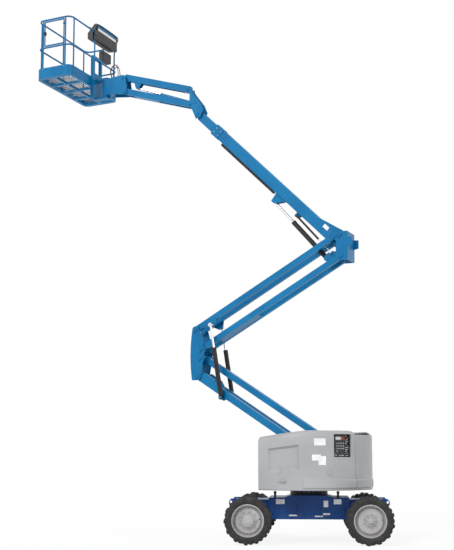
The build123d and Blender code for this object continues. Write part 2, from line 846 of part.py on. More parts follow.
def build_barrel(name, foot, eye, barrel_length, radius, rod_radius, w, pin_hole, spots=(1,)):
    """A closed barrel with a foot eye; the bore is open to the rod."""
    turn = angle_of(minus(eye, foot))
    axis = forward * cos(radians(turn)) + up * sin(radians(turn))
    with BuildPart() as barrel:
        for s in spots:
            start = Plane(origin=point(*foot, s * w) + axis * barrel_start, x_dir=near, z_dir=axis)
            with BuildSketch(start) as body:
                Circle(radius)
            extrude(body.sketch, amount=barrel_length - barrel_start)
            with BuildSketch(start.offset(barrel_length - barrel_start - gland_length)) as gland:
                Circle(radius + 2)
            extrude(gland.sketch, amount=gland_length)
            with BuildSketch(start.offset(gland_length)) as bore:
                Circle(rod_radius + pin_play)
            extrude(bore.sketch, amount=barrel_length, mode=Mode.SUBTRACT)
            eye_at = side(*foot, turn, s * w + radius * 0.7)
            eye_radius = pin_hole + 16
            slab(disc(eye_at, eye_radius), s * w + radius * 0.7, s * w - radius * 0.7)
            with BuildSketch(eye_at) as neck:
                with Locations((barrel_start, 0)):
                    Rectangle(2 * barrel_start, eye_radius * 1.6)
            slab(neck.sketch, s * w + radius * 0.7, s * w - radius * 0.7)
            hole_at = side(*foot, turn, s * w + radius + 5)
            slab(disc(hole_at, pin_hole + pin_play), s * w + radius + 5, s * w - radius - 5, Mode.SUBTRACT)
    save(barrel, name)


def build_rod(name, foot, eye, tail, rod_radius, w, eye_radius, eye_half, spots=(1,), pin_from=0):
    """A rod reaching from inside its barrel to its solid eye, with a pin towards the machine's middle."""
    turn = angle_of(minus(eye, foot))
    axis = forward * cos(radians(turn)) + up * sin(radians(turn))
    reach = hypot(*minus(eye, foot))
    with BuildPart() as rod:
        for s in spots:
            start = Plane(origin=point(*foot, s * w) + axis * tail, x_dir=near, z_dir=axis)
            with BuildSketch(start) as shaft:
                Circle(rod_radius)
            extrude(shaft.sketch, amount=reach - tail - eye_radius + 4)
            eye_at = side(*eye, turn, s * w + eye_half)
            slab(disc(eye_at, eye_radius), s * w + eye_half, s * w - eye_half)
            if pin_from:
                pin_at = side(*eye, turn, s * pin_from)
                slab(disc(pin_at, rod_radius), s * pin_from, s * w)
    save(rod, name)


riser_foot = plus(plus(lower_pin, polar(riser_base[0], riser_deg)), polar(riser_base[1], riser_deg + 90))
riser_eye = plus(plus(u4, polar(eye_on_arm[0], -upper_riser_deg)), polar(eye_on_arm[1], 90 - upper_riser_deg))
build_barrel(
    "riser_cylinders", riser_foot, riser_eye, 930, riser_cylinder_radius, riser_rod_radius, riser_cylinder_offset, 26, (1, -1)
)
build_rod(
    "riser_rods",
    riser_foot,
    riser_eye,
    440,
    riser_rod_radius,
    riser_cylinder_offset,
    38,
    30,
    (1, -1),
    riser_ear_to + pin_play,
)

boom_eye_at = boom_point(*boom_eye)
build_barrel("boom_cylinder", cylinder_foot, boom_eye_at, 980, boom_cylinder_radius, boom_rod_radius, 0, 28)
build_rod("boom_rod", cylinder_foot, boom_eye_at, 460, boom_rod_radius, 0, 34, 37.7)

master_at = boom_point(*master_eye)
build_barrel("level_cylinder", master_at, master_ear, 630, master_radius, master_rod_radius, master_offset, 14)
build_rod("level_rod", master_at, master_ear, 370, master_rod_radius, master_offset, 24, master_offset - inner_ear_to - pin_play)

# Jib

jib_foot = plus(j2, (-84, 12))
jib_eye_local = (1179, -140)
jib_eye = plus(plus(j1, polar(jib_eye_local[0], jib_deg)), polar(jib_eye_local[1], jib_deg + 90))
jib_plate_to = jib_plate_inner + jib_plate
with BuildPart() as jib_knuckle:
    knuckle_points = [
        plus(j1, (0, 44)),
        plus(j1, (-60, -40)),
        plus(b0, (-46, 216)),
        plus(b0, (-110, 60)),
        plus(b0, (-60, -60)),
        plus(b0, (40, -90)),
        plus(j2, (-20, -90)),
        plus(j2, (30, -40)),
        plus(j1, (-36, -100)),
        plus(j1, (40, -20)),
    ]
    plate_at = side(w=jib_plate_inner)
    slab(outline(plate_at, knuckle_points), jib_plate_inner, jib_plate_to)
    slab(disc(plate_at, 44, (j1, j2)), jib_plate_inner, jib_plate_to)
    mirror(about=side())
    for s in (1, -1):
        slab(disc(side(w=s * (jib_link_inner - 2)), jib_pin_radius, (j2,)), s * (jib_link_inner - 2), s * (jib_plate_to + 6))
    extrude(disc(side(), jib_pin_radius, (j1, jib_foot)), amount=jib_plate_to + 6, both=True)
    extrude(disc(side(), jib_pin_radius + 6, (b0,)), amount=jib_plate_to + 8, both=True)
save(jib_knuckle, "jib_knuckle")

with BuildPart() as jib_beam:
    at = side(*j1, jib_deg)
    extrude(bar_profile(at, jib_length, jib_beam_depth, 18, 46), amount=jib_beam_half_width, both=True)
    with BuildSketch(at) as void:
        with Locations((jib_length / 2, 18)):
            Rectangle(jib_length - 180, jib_beam_depth - 14)
    extrude(void.sketch, amount=jib_beam_half_width - 7, both=True, mode=Mode.SUBTRACT)
    with BuildSketch(at) as slot:
        with Locations((jib_length / 2 - 60, 18 - jib_beam_depth / 2)):
            Rectangle(jib_length - 360, 30)
    extrude(slot.sketch, amount=jib_beam_half_width - 13, both=True, mode=Mode.SUBTRACT)
    extrude(disc(at, 46, ((0, 0), (jib_length, 0))), amount=jib_plate_inner - 3, both=True)
    lug = [
        (jib_eye_local[0] - 70, -40),
        (jib_eye_local[0] - 24, jib_eye_local[1] - 24),
        (jib_eye_local[0] + 24, jib_eye_local[1] - 24),
        (jib_eye_local[0] + 110, -40),
    ]
    for w in (-50, 38):
        slab(outline(side(*j1, jib_deg, w), lug), w, w + 12)
    extrude(
        disc(at, jib_pin_radius + pin_play, ((0, 0), (jib_length, 0))),
        amount=jib_plate_inner,
        both=True,
        mode=Mode.SUBTRACT,
    )
save(jib_beam, "jib_beam")

with BuildPart() as jib_link:
    at = side(*j2, jib_deg, jib_link_inner)
    slab(bar_profile(at, jib_length, jib_link_depth, 0, 46), jib_link_inner, jib_link_outer)
    with BuildSketch(side(*j2, jib_deg, jib_link_inner + 6)) as void:
        with Locations((jib_length / 2, 0)):
            Rectangle(jib_length - 180, jib_link_depth - 12)
    slab(void.sketch, jib_link_inner + 6, jib_link_outer - 6, Mode.SUBTRACT)
    slab(
        disc(at, jib_pin_radius + pin_play, ((0, 0), (jib_length, 0))), jib_link_inner, jib_link_outer, Mode.SUBTRACT
    )
    mirror(about=side())
    tie = [(760, -jib_link_depth / 2), (jib_length - 200, -jib_link_depth / 2)]
    tie += [(jib_length - 200, -jib_link_depth / 2 + 8), (760, -jib_link_depth / 2 + 8)]
    extrude(outline(side(*j2, jib_deg), tie), amount=jib_link_inner + 1, both=True)
save(jib_link, "jib_link")

build_barrel("jib_cylinder", jib_foot, jib_eye, 850, jib_cylinder_radius, jib_rod_radius, 0, jib_pin_radius)
build_rod("jib_rod", jib_foot, jib_eye, 450, jib_rod_radius, 0, 28, 37.7)

# Platform end of the jib

rotator_u = k1[0] + rotator_reach
rotator_low = k2[1] - 60
rotator_high = k1[1] + 70
rotator_radius = 85
with BuildPart() as jib_end:
    end_points = [
        plus(k1, (-44, 30)),
        plus(k1, (20, 52)),
        (rotator_u - 40, rotator_high - 48),
        (rotator_u - 40, rotator_low + 60),
        plus(k2, (40, -54)),
        plus(k2, (-40, -40)),
    ]
    plate_at = side(w=jib_plate_inner)
    slab(outline(plate_at, end_points), jib_plate_inner, jib_plate_to)
    mirror(about=side())
    extrude(disc(side(), jib_pin_radius, (k1, k2)), amount=jib_plate_to + 6, both=True)
    bridge = [
        (rotator_u - 180, rotator_high - 60),
        (rotator_u - 40, rotator_high - 48),
        (rotator_u - 40, rotator_low + 60),
        (rotator_u - 180, rotator_low + 60),
    ]
    extrude(outline(side(), bridge), amount=jib_plate_inner + 1, both=True)
    with BuildSketch(plan(rotator_low + 40, rotator_u)) as drum:
        Circle(rotator_radius)
    extrude(drum.sketch, amount=rotator_high - rotator_low - 80)
save(jib_end, "jib_end")

floor_z = k1[1] + platform_drop
platform_u = k1[0] + platform_near
platform_mid = platform_u + platform_depth / 2
with BuildPart() as platform_mount:
    cap_height = 40 - pin_play
    for z in (rotator_low, rotator_high - cap_height):
        with BuildSketch(plan(z, rotator_u)) as cap:
            Circle(rotator_radius - 5)
            with Locations(((platform_u - rotator_u) / 2, 0)):
                Rectangle(platform_u - rotator_u, 150)
        extrude(cap.sketch, amount=cap_height)
    with BuildSketch(side(w=0)) as post:
        with Locations((platform_u - 30, (rotator_low + floor_z + 640) / 2)):
            Rectangle(60, floor_z + 640 - rotator_low)
    extrude(post.sketch, amount=170, both=True)
    with BuildSketch(side(w=0)) as bay:
        with Locations((platform_u - 30, floor_z + 430)):
            Rectangle(62, 300)
    extrude(bay.sketch, amount=120, both=True, mode=Mode.SUBTRACT)
save(platform_mount, "platform_mount")


def deck_plane(z):
    return plan(z, platform_mid)


with BuildPart() as platform_floor:
    with BuildSketch(deck_plane(floor_z)) as tray:
        RectangleRounded(platform_depth, platform_width, corner_radius)
    extrude(tray.sketch, amount=toe_height)
    with BuildSketch(deck_plane(floor_z + floor_thickness)) as room:
        RectangleRounded(platform_depth - 2 * toe_wall, platform_width - 2 * toe_wall, corner_radius - toe_wall)
    extrude(room.sketch, amount=toe_height, mode=Mode.SUBTRACT)
    with BuildSketch(deck_plane(floor_z)) as windows:
        with GridLocations((platform_depth - 110) / 2 + 15, (platform_width - 120) / 4, 2, 4):
            RectangleRounded((platform_depth - 110) / 2 - 30, (platform_width - 120) / 4 - 50, 40)
    extrude(windows.sketch, amount=floor_thickness, mode=Mode.SUBTRACT)
save(platform_floor, "platform_floor")

grating_inset = toe_wall + 2 * rail_radius
with BuildPart() as platform_grating:
    span_u = platform_depth - 2 * grating_inset
    span_w = platform_width - 2 * grating_inset
    bar_pitch = 50
    bars = int((span_u - 2 * corner_radius) // bar_pitch) + 1
    with BuildSketch(deck_plane(floor_z + floor_thickness)) as mesh_bars:
        with GridLocations(bar_pitch, 0, bars, 1):
            Rectangle(5, span_w)
        with GridLocations(0, span_w / 6, 1, 5):
            Rectangle(span_u, 8)
    extrude(mesh_bars.sketch, amount=22)
save(platform_grating, "platform_grating")


def ring_rail(z):
    """A closed tube rail round the platform at height z, as two bent halves."""
    half_u = platform_depth / 2 - post_inset
    half_w = platform_width / 2 - post_inset
    for s in (1, -1):
        with BuildLine(deck_plane(z)) as path:
            FilletPolyline((-half_u, 0), (-half_u, s * half_w), (half_u, s * half_w), (half_u, 0), radius=corner_radius)
        with BuildSketch(Plane(origin=path.wire() @ 0, z_dir=path.wire() % 0)) as ring:
            Circle(rail_radius)
        sweep(ring.sketch, path=path.wire())


post_radius = rail_radius - 2
post_inset = toe_wall + post_radius + pin_play
gate_gap = 8
gate_radius = 14
stile_radius = gate_radius - 2
hinge_inset = 90
hinge_height = 24
u_post = platform_depth / 2 - post_inset
w_post = platform_width / 2 - post_inset
gate_half = u_post - corner_radius - post_radius - gate_gap - gate_radius
gate_top = floor_z + rail_height - 2 * rail_radius - gate_gap - gate_radius
gate_low = floor_z + mid_rail_height + rail_radius + gate_gap + gate_radius
with BuildPart() as platform_rails:
    ring_rail(floor_z + rail_height - rail_radius)
    ring_rail(floor_z + mid_rail_height)
    spots = [(a * u_post, b * (w_post - corner_radius)) for a in (-1, 1) for b in (-1, 1)]
    spots += [(a * u_post, 0) for a in (-1, 1)]
    spots += [(a * (u_post - corner_radius), w_post) for a in (-1, 1)]
    with BuildSketch(deck_plane(floor_z + floor_thickness)) as posts:
        with Locations(*spots):
            Circle(post_radius)
    extrude(posts.sketch, amount=rail_height - floor_thickness - rail_radius)
    for z in (gate_low + hinge_inset, gate_top - hinge_inset):
        with BuildSketch(deck_plane(z - hinge_height / 2)) as hinge:
            with Locations((-gate_half, w_post)):
                Circle(stile_radius + 9)
            with Locations((-(u_post - corner_radius + gate_half) / 2, w_post)):
                Rectangle(u_post - corner_radius - gate_half, hinge_height)
            with Locations((-gate_half, w_post)):
                Circle(stile_radius + pin_play, mode=Mode.SUBTRACT)
        extrude(hinge.sketch, amount=hinge_height)
save(platform_rails, "platform_rails")

with BuildPart() as gate:
    for z in (gate_low, gate_top):
        bar_at = Plane(origin=point(platform_mid - gate_half, z, w_post), x_dir=near, z_dir=forward)
        with BuildSketch(bar_at) as tube:
            Circle(gate_radius)
        extrude(tube.sketch, amount=2 * gate_half)
    for u in (platform_mid - gate_half, platform_mid + gate_half):
        with BuildSketch(plan(gate_low, u, w_post)) as stile:
            Circle(stile_radius)
        extrude(stile.sketch, amount=gate_top - gate_low)
save(gate, "platform_gate")

console_u = platform_u - 57
console_low = floor_z + rail_height - 196
with BuildPart() as control_box:
    case = [
        (console_u, console_low),
        (console_u + 220, console_low + 30),
        (console_u + 220, console_low + 160),
        (console_u + 60, console_low + 330),
        (console_u, console_low + 330),
    ]
    slab(outline(side(w=-750), case), -750, 50)
    fillet(control_box.edges().filter_by(Axis(point(0, 0), near)), 12)
    slot = [
        (platform_u, console_low - 40),
        (platform_u + post_inset + rail_radius + 1, console_low - 40),
        (platform_u + post_inset + rail_radius + 1, floor_z + rail_height + pad_gap),
        (platform_u, floor_z + rail_height + pad_gap),
    ]
    slab(outline(side(w=-751), slot), -751, 51, Mode.SUBTRACT)
save(control_box, "platform_controls")
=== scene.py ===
"""Looks of the articulating boom lift: wheels, hoods, trim, controls, hoses, finishes and studio."""

import json
from math import atan2, cos, degrees, hypot, pi, radians, sin

import bpy
from mathutils import Matrix, Vector


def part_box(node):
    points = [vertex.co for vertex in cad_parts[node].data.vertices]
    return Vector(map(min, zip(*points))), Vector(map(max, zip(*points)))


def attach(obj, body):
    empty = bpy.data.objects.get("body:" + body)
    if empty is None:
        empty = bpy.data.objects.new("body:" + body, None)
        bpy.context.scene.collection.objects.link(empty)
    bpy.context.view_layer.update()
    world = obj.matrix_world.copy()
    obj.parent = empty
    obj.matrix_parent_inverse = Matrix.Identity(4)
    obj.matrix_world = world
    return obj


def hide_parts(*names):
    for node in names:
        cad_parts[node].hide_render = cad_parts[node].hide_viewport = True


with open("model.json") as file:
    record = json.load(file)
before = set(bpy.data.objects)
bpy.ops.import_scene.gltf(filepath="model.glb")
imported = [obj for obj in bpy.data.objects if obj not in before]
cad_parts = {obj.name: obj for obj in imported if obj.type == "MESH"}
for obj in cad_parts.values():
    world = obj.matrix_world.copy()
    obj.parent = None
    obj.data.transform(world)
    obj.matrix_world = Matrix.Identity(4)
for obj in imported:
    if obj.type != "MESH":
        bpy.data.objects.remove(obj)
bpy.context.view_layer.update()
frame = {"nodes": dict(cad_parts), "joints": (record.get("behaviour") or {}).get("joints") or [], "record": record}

# Driving dimensions, in metres and degrees; other places come from the frame's joints and boxes

SLEW = radians(160)
BOOM_RISE = 44.65
LUG = 0.02
TREAD_BARS = 13
HOOD_TRIM = 0.022
HOOD_SINK = 0.035
PANEL_TURN = 141.5
PANEL_RADIUS = 1.0155
PANEL_MIDDLE = 1.685
WINDOW_MIDDLE = 1.65

# Directions and places

FORWARD = Vector((cos(SLEW), sin(SLEW), 0))
NEAR = Vector((-sin(SLEW), cos(SLEW), 0))
UP = Vector((0, 0, 1))
ALONG_CHASSIS = Vector((1, 0, 0))
TURNING = [joint for joint in frame["joints"] if "pos_m" in joint]
JOINT_PLACE = {joint["name"]: Vector(joint["pos_m"]) for joint in TURNING}


def seen_from_side(joint):
    """How far forward a joint of the superstructure lies, and how high."""
    place = JOINT_PLACE[joint]
    return Vector((place.dot(FORWARD), place.z))


def spot(u, z, w=0.0):
    """A point of the superstructure: u forward, z up, w to the near side."""
    return FORWARD * u + UP * z + NEAR * w


def hood_spot(radius, turn, z):
    """A point round the turntable, turned from forward towards the near side."""
    return spot(radius * cos(radians(turn)), z, radius * sin(radians(turn)))


def along(turn):
    """The direction that is raised from forward by so many degrees."""
    return FORWARD * cos(radians(turn)) + UP * sin(radians(turn))


# Finishes


class Wire:
    """A shader value that can be used in sums."""

    def __init__(self, owner, socket):
        self.owner = owner
        self.socket = socket

    def math(self, operation, first, second):
        return self.owner.node("ShaderNodeMath", {"operation": operation}, [first, second])

    def __add__(self, other):
        return self.math("ADD", self, other)

    def __rsub__(self, other):
        return self.math("SUBTRACT", other, self)

    def __mul__(self, other):
        return self.math("MULTIPLY", self, other)

    def between(self, low, high):
        """0 below low, 1 above high, smooth from one to the other."""
        values = {"Value": self, "From Min": low, "From Max": high}
        return self.owner.node("ShaderNodeMapRange", {"interpolation_type": "SMOOTHSTEP"}, values)


class Nodes:
    """A node tree under construction."""

    def __init__(self, tree):
        self.tree = tree

    def feed(self, socket, value):
        if isinstance(value, Wire):
            self.tree.links.new(value.socket, socket)
        elif socket.type == "RGBA":
            socket.default_value = (*value, 1)
        else:
            socket.default_value = value

    def node(self, kind, settings, values, output=0):
        made = self.tree.nodes.new(kind)
        for key, value in settings.items():
            setattr(made, key, value)
        pairs = values.items() if isinstance(values, dict) else enumerate(values)
        for key, value in pairs:
            self.feed(made.inputs[key], value)
        return Wire(self, made.outputs[output])

    def show(self, shader, output):
        """Let a shader be what the tree's output node shows."""
        self.feed(self.tree.nodes[output].inputs["Surface"], shader)


class Finish(Nodes):
    """A material under construction."""

    def __init__(self, name):
        self.material = bpy.data.materials.new(name)
        self.material.use_nodes = True
        super().__init__(self.material.node_tree)
        self.shader = self.tree.nodes["Principled BSDF"]
        self.place = self.node("ShaderNodeTexCoord", {}, {}, "Object")

    def noise(self, scale, detail=3, stretch=None):
        where = self.place
        if stretch:
            where = self.node("ShaderNodeMapping", {}, {"Vector": where, "Scale": stretch})
        return self.node("ShaderNodeTexNoise", {}, {"Vector": where, "Scale": scale, "Detail": detail})

    def blend(self, amount, first, second):
        settings = {"data_type": "RGBA"}
        return self.node("ShaderNodeMix", settings, {0: amount, 6: first, 7: second}, 2)

    def height(self):
        return self.node("ShaderNodeSeparateXYZ", {}, {0: self.place}, 2)

    def bump(self, value, strength, distance):
        values = {"Height": value, "Strength": strength, "Distance": distance}
        self.set(Normal=self.node("ShaderNodeBump", {}, values))

    def set(self, **values):
        for key, value in values.items():
            self.feed(self.shader.inputs[key.replace("_", " ")], value)


DUST = (0.30, 0.27, 0.22)


def paint(name, colour, shade, gloss=0.34, road_dust=0.3, coat=0.06):
    """Sprayed enamel: a little uneven, dusty low down, with fine orange peel and small chips."""
    finish = Finish(name)
    cloud = finish.noise(1.7, 4)
    streak = finish.noise(7, 5, (1, 1, 0.5))
    low_down = 1 - finish.height().between(0.25, 0.95)
    dust = low_down * streak.between(0.35, 0.8) * road_dust + streak.between(0.6, 0.85) * 0.05
    base = finish.blend(cloud.between(0.3, 0.7), shade, colour)
    chips = finish.noise(60, 2) * (finish.noise(240, 2) + 0.25)
    chipped = finish.blend(chips.between(0.62, 0.66) * 0.4, base, (0.20, 0.20, 0.21))
    finish.set(Base_Color=finish.blend(dust, chipped, DUST))
    finish.set(Roughness=cloud * 0.12 + streak * 0.08 + dust * 0.4 + (gloss - 0.08))
    finish.set(Coat_Weight=coat, Coat_Roughness=0.15, Specular_IOR_Level=0.22)
    finish.bump(finish.noise(420, 2) + finish.noise(14, 2) * 0.6, 0.12, 0.0012)
    return finish.material


def rubber(name):
    """Tyre rubber, dull, with grime in patches."""
    finish = Finish(name)
    grime = finish.noise(11, 5)
    scuff = finish.noise(46, 4)
    grimy = grime.between(0.4, 0.75) * 0.55
    finish.set(Base_Color=finish.blend(grimy, (0.011, 0.011, 0.012), (0.045, 0.042, 0.038)))
    finish.set(Roughness=scuff * 0.2 + 0.68)
    finish.bump(scuff + finish.noise(210, 2) * 0.5, 0.35, 0.002)
    return finish.material


def polished_rod(name):
    """A chromed rod with fine lines round it."""
    finish = Finish(name)
    lines = finish.noise(30, 3, (1, 1, 9))
    finish.set(Base_Color=finish.blend(lines, (0.70, 0.71, 0.73), (0.84, 0.85, 0.86)))
    finish.set(Metallic=1.0, Roughness=lines * 0.12 + 0.12)
    finish.bump(lines, 0.05, 0.0004)
    return finish.material


def bare_steel(name, colour=(0.46, 0.47, 0.48)):
    """Zinc-coated steel with its cloudy spangle."""
    finish = Finish(name)
    settings = {"feature": "F1"}
    spangle = finish.node("ShaderNodeTexVoronoi", settings, {"Vector": finish.place, "Scale": 90.0})
    dull = finish.noise(22, 3)
    finish.set(Base_Color=finish.blend(spangle, colour, tuple(0.72 * c for c in colour)))
    finish.set(Metallic=0.85, Roughness=dull * 0.25 + 0.3)
    finish.bump(dull, 0.1, 0.001)
    return finish.material


def moulded(name, colour, gloss=0.5):
    """Moulded plastic with a leathered grain."""
    finish = Finish(name)
    grain = finish.noise(520, 2)
    wear = finish.noise(7, 4)
    pale = tuple(min(1, c * 1.5 + 0.02) for c in colour)
    finish.set(Base_Color=finish.blend(wear.between(0.45, 0.8) * 0.5, colour, pale))
    finish.set(Roughness=wear * 0.18 + (gloss - 0.06))
    finish.bump(grain + wear * 0.3, 0.2, 0.0008)
    return finish.material


def hose_rubber(name):
    """Hose cover with faint bands."""
    finish = Finish(name)
    bands = finish.noise(170, 2, (1, 1, 0.3))
    finish.set(Base_Color=finish.blend(bands, (0.014, 0.014, 0.016), (0.038, 0.038, 0.04)))
    finish.set(Roughness=bands * 0.2 + 0.42)
    finish.bump(bands, 0.25, 0.0006)
    return finish.material


BLUE = paint("boom_blue", (0.0, 0.165, 0.37), (0.0, 0.13, 0.31))
CHASSIS_BLUE = paint("chassis_blue", (0.0, 0.052, 0.22), (0.0, 0.036, 0.17), road_dust=0.1)
COWL_GREY = paint("cowl_grey", (0.39, 0.395, 0.40), (0.35, 0.355, 0.36), gloss=0.42, coat=0.04)
WHEEL_PALE, WHEEL_DEEP = (0.44, 0.43, 0.435), (0.34, 0.33, 0.335)
WHEEL_GREY = paint("wheel_grey", WHEEL_PALE, WHEEL_DEEP, gloss=0.45, road_dust=0.4, coat=0.0)
BLACK = paint("black_enamel", (0.012, 0.012, 0.014), (0.022, 0.022, 0.024), gloss=0.38, road_dust=0.1)
PALE_LABEL = moulded("blank_label", (0.74, 0.74, 0.73), 0.35)
DARK_PANEL = moulded("control_panel", (0.02, 0.021, 0.023), 0.45)
BLACK_PLASTIC = moulded("black_plastic", (0.024, 0.024, 0.026), 0.5)
RED_PLASTIC = moulded("stop_red", (0.55, 0.012, 0.01), 0.3)
YELLOW_PLASTIC = moulded("stop_yellow", (0.72, 0.46, 0.02), 0.35)
GREY_BUTTON = moulded("grey_button", (0.52, 0.53, 0.54), 0.4)
TYRE = rubber("tyre_rubber")
ROD = polished_rod("rod_chrome")
ZINC = bare_steel("zinc_steel")
GRATING = bare_steel("deck_zinc", (0.42, 0.44, 0.46))
HOSE = hose_rubber("hose_rubber")

CAD_FINISH = {
    "chassis_paint": CHASSIS_BLUE,
    "blue_paint": BLUE,
    "cowl_paint": COWL_GREY,
    "wheel_paint": WHEEL_GREY,
    "black_steel": BLACK,
    "rod_chrome": ROD,
    "black_plastic": BLACK_PLASTIC,
    "grating_steel": GRATING,
    "tyre_rubber": TYRE,
}
for part in frame["record"]["subparts"]:
    node = frame["nodes"][part["node"]]
    node.data.materials.clear()
    node.data.materials.append(CAD_FINISH[part["material_slot"]])

# Modelling by hand


def clear_hands():
    """Object mode with nothing selected, before the next piece."""
    if bpy.context.object and bpy.context.object.mode != "OBJECT":
        bpy.ops.object.mode_set(mode="OBJECT")
    bpy.ops.object.select_all(action="DESELECT")


def edit(kind="FACE"):
    bpy.ops.object.mode_set(mode="EDIT")
    bpy.ops.mesh.select_mode(type=kind)
    bpy.ops.mesh.select_all(action="DESELECT")


def pick_faces(piece, wanted):
    """Select the faces whose centre and normal pass the test."""
    bpy.ops.object.mode_set(mode="OBJECT")
    for face in piece.data.polygons:
        face.select = wanted(face.center, face.normal)
    bpy.ops.object.mode_set(mode="EDIT")


def pick_points(piece, wanted):
    bpy.ops.object.mode_set(mode="OBJECT")
    for face in piece.data.polygons:
        face.select = False
    for edge in piece.data.edges:
        edge.select = False
    for vertex in piece.data.vertices:
        vertex.select = wanted(vertex.co)
    bpy.ops.object.mode_set(mode="EDIT")


def block(size, rounding=0.003, segments=2):
    """A block at the origin with softened edges."""
    clear_hands()
    bpy.ops.mesh.primitive_cube_add(size=1)
    piece = bpy.context.object
    piece.scale = size
    bpy.ops.object.transform_apply(scale=True)
    edit("EDGE")
    bpy.ops.mesh.select_all(action="SELECT")
    bpy.ops.mesh.bevel(offset=rounding, segments=segments, affect="EDGES")
    bpy.ops.object.mode_set(mode="OBJECT")
    return piece


def draw_in(piece, depth):
    """Move all faces of a closed piece inwards."""
    edit()
    bpy.ops.mesh.select_all(action="SELECT")
    bpy.ops.mesh.inset(thickness=0, depth=-depth)
    bpy.ops.object.mode_set(mode="OBJECT")
    return piece


def first_ring(ring, sides, fill, kind="FACE", turn=0.0):
    """A circle of a ring's radius at its height, in edit mode and all selected."""
    radius, height = ring
    clear_hands()
    bpy.ops.mesh.primitive_circle_add(vertices=sides, radius=radius, fill_type=fill, rotation=(0, 0, turn))
    piece = bpy.context.object
    bpy.ops.object.transform_apply(rotation=True)
    edit(kind)
    bpy.ops.mesh.select_all(action="SELECT")
    bpy.ops.transform.translate(value=(0, 0, height))
    return piece


def add_rings(rings, extrude):
    """Draw the ring in hand on to each further ring of radius and height."""
    for (radius, height), (next_radius, next_height) in zip(rings, rings[1:]):
        extrude(TRANSFORM_OT_translate={"value": (0, 0, next_height - height)})
        share = next_radius / radius
        bpy.ops.transform.resize(value=(share, share, 1), center_override=(0, 0, next_height))


def turn_out():
    """Let all faces point outwards, and leave edit mode."""
    bpy.ops.mesh.select_all(action="SELECT")
    bpy.ops.mesh.normals_make_consistent(inside=False)
    bpy.ops.object.mode_set(mode="OBJECT")


def solid_of_rings(rings, sides, turn=0.0):
    """A solid from a filled circle, raised and sized ring by ring."""
    piece = first_ring(rings[0], sides, "NGON", turn=turn)
    add_rings(rings, bpy.ops.mesh.extrude_region_move)
    turn_out()
    return piece


def turned(profile, sides=32):
    """A small turned piece, smooth but for its sharp edges."""
    piece = solid_of_rings(profile, sides)
    bpy.ops.object.shade_smooth_by_angle(angle=radians(35))
    return piece


def take(piece):
    """Select one piece alone and make it the active one."""
    clear_hands()
    piece.select_set(True)
    bpy.context.view_layer.objects.active = piece


def stand(centre, across, out):
    """A place whose local X runs across and whose local Z points out."""
    z = out.normalized()
    x = (across - z * across.dot(z)).normalized()
    y = z.cross(x)
    place = Matrix((x, y, z)).transposed().to_4x4()
    place.translation = centre
    return place


def settle(piece, place):
    """Move a finished piece into place and leave its object at the origin."""
    take(piece)
    piece.matrix_world = place
    bpy.ops.object.transform_apply(location=True, rotation=True, scale=True)
    return piece


def again(piece, place):
    """Another of the same piece, with its own mesh, in another place."""
    other = piece.copy()
    other.data = piece.data.copy()
    bpy.context.scene.collection.objects.link(other)
    return settle(other, place)


def row_of(piece, places):
    """The piece once in each place; the first is the piece itself."""
    others = [again(piece, place) for place in places[1:]]
    return [settle(piece, places[0])] + others


def join(pieces):
    """All the pieces as one mesh."""
    clear_hands()
    for piece in pieces:
        piece.select_set(True)
    bpy.context.view_layer.objects.active = pieces[0]
    if len(pieces) > 1:
        bpy.ops.object.join()
    return pieces[0]


def mount(piece, name, body, finish):
    """Name a piece, give it its finish and let it ride on its body."""
    piece.name = name
    piece.data.name = name
    piece.data.materials.clear()
    piece.data.materials.append(finish)
    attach(piece, body)


def tube(points, radius, smooth=True):
    """A bent tube along the points, made into a mesh."""
    curve = bpy.data.curves.new("bent_tube", "CURVE")
    curve.dimensions = "3D"
    curve.bevel_depth = radius
    curve.bevel_resolution = 3
    curve.resolution_u = 8
    curve.use_fill_caps = True
    spline = curve.splines.new("NURBS" if smooth else "POLY")
    spline.points.add(len(points) - 1)
    for handle, point in zip(spline.points, points):
        handle.co = (*point, 1)
    if smooth:
        spline.order_u = 3
        spline.use_endpoint_u = True
    piece = bpy.data.objects.new("bent_tube", curve)
    bpy.context.scene.collection.objects.link(piece)
    take(piece)
    bpy.ops.object.convert(target="MESH")
    piece = bpy.context.object
    bpy.ops.object.shade_smooth_by_angle(angle=radians(50))
    return piece


# Tyres

tyre_low, tyre_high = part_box("drive_tyre_near")
rim_low, rim_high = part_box("drive_rim_near")
TYRE_RADIUS = (tyre_high.z - tyre_low.z) / 2
TYRE_WIDTH = tyre_high.y - tyre_low.y
RIM_RADIUS = (rim_high.z - rim_low.z) / 2
BAR_ROOT = 0.014


def make_carcass():
    """A carcass about local Z, drawn from bead to bead over the tread and closed inside the rim."""
    crown = TYRE_RADIUS - LUG
    wall = [(RIM_RADIUS + 0.001, 0.6), (RIM_RADIUS + 0.001, 0.88), (RIM_RADIUS + 0.014, 0.95)]
    wall += [(RIM_RADIUS + 0.02, 0.965), (RIM_RADIUS + 0.04, 0.985), (RIM_RADIUS + 0.05, 0.985)]
    wall += [(RIM_RADIUS + 0.053, 1.0), (RIM_RADIUS + 0.062, 1.0), (RIM_RADIUS + 0.065, 0.982)]
    wall += [(RIM_RADIUS + 0.078, 0.97), (crown - 0.025, 0.95), (crown - 0.008, 0.91), (crown, 0.84)]
    rings = [(radius, -share * TYRE_WIDTH / 2) for radius, share in wall]
    rings += [(radius, share * TYRE_WIDTH / 2) for radius, share in reversed(wall)]
    carcass = first_ring(rings[0], 96, "NOTHING", "EDGE")
    add_rings(rings, bpy.ops.mesh.extrude_edges_move)
    bpy.ops.mesh.select_all(action="DESELECT")
    bpy.ops.mesh.select_non_manifold()
    bpy.ops.mesh.bridge_edge_loops()
    turn_out()
    return carcass


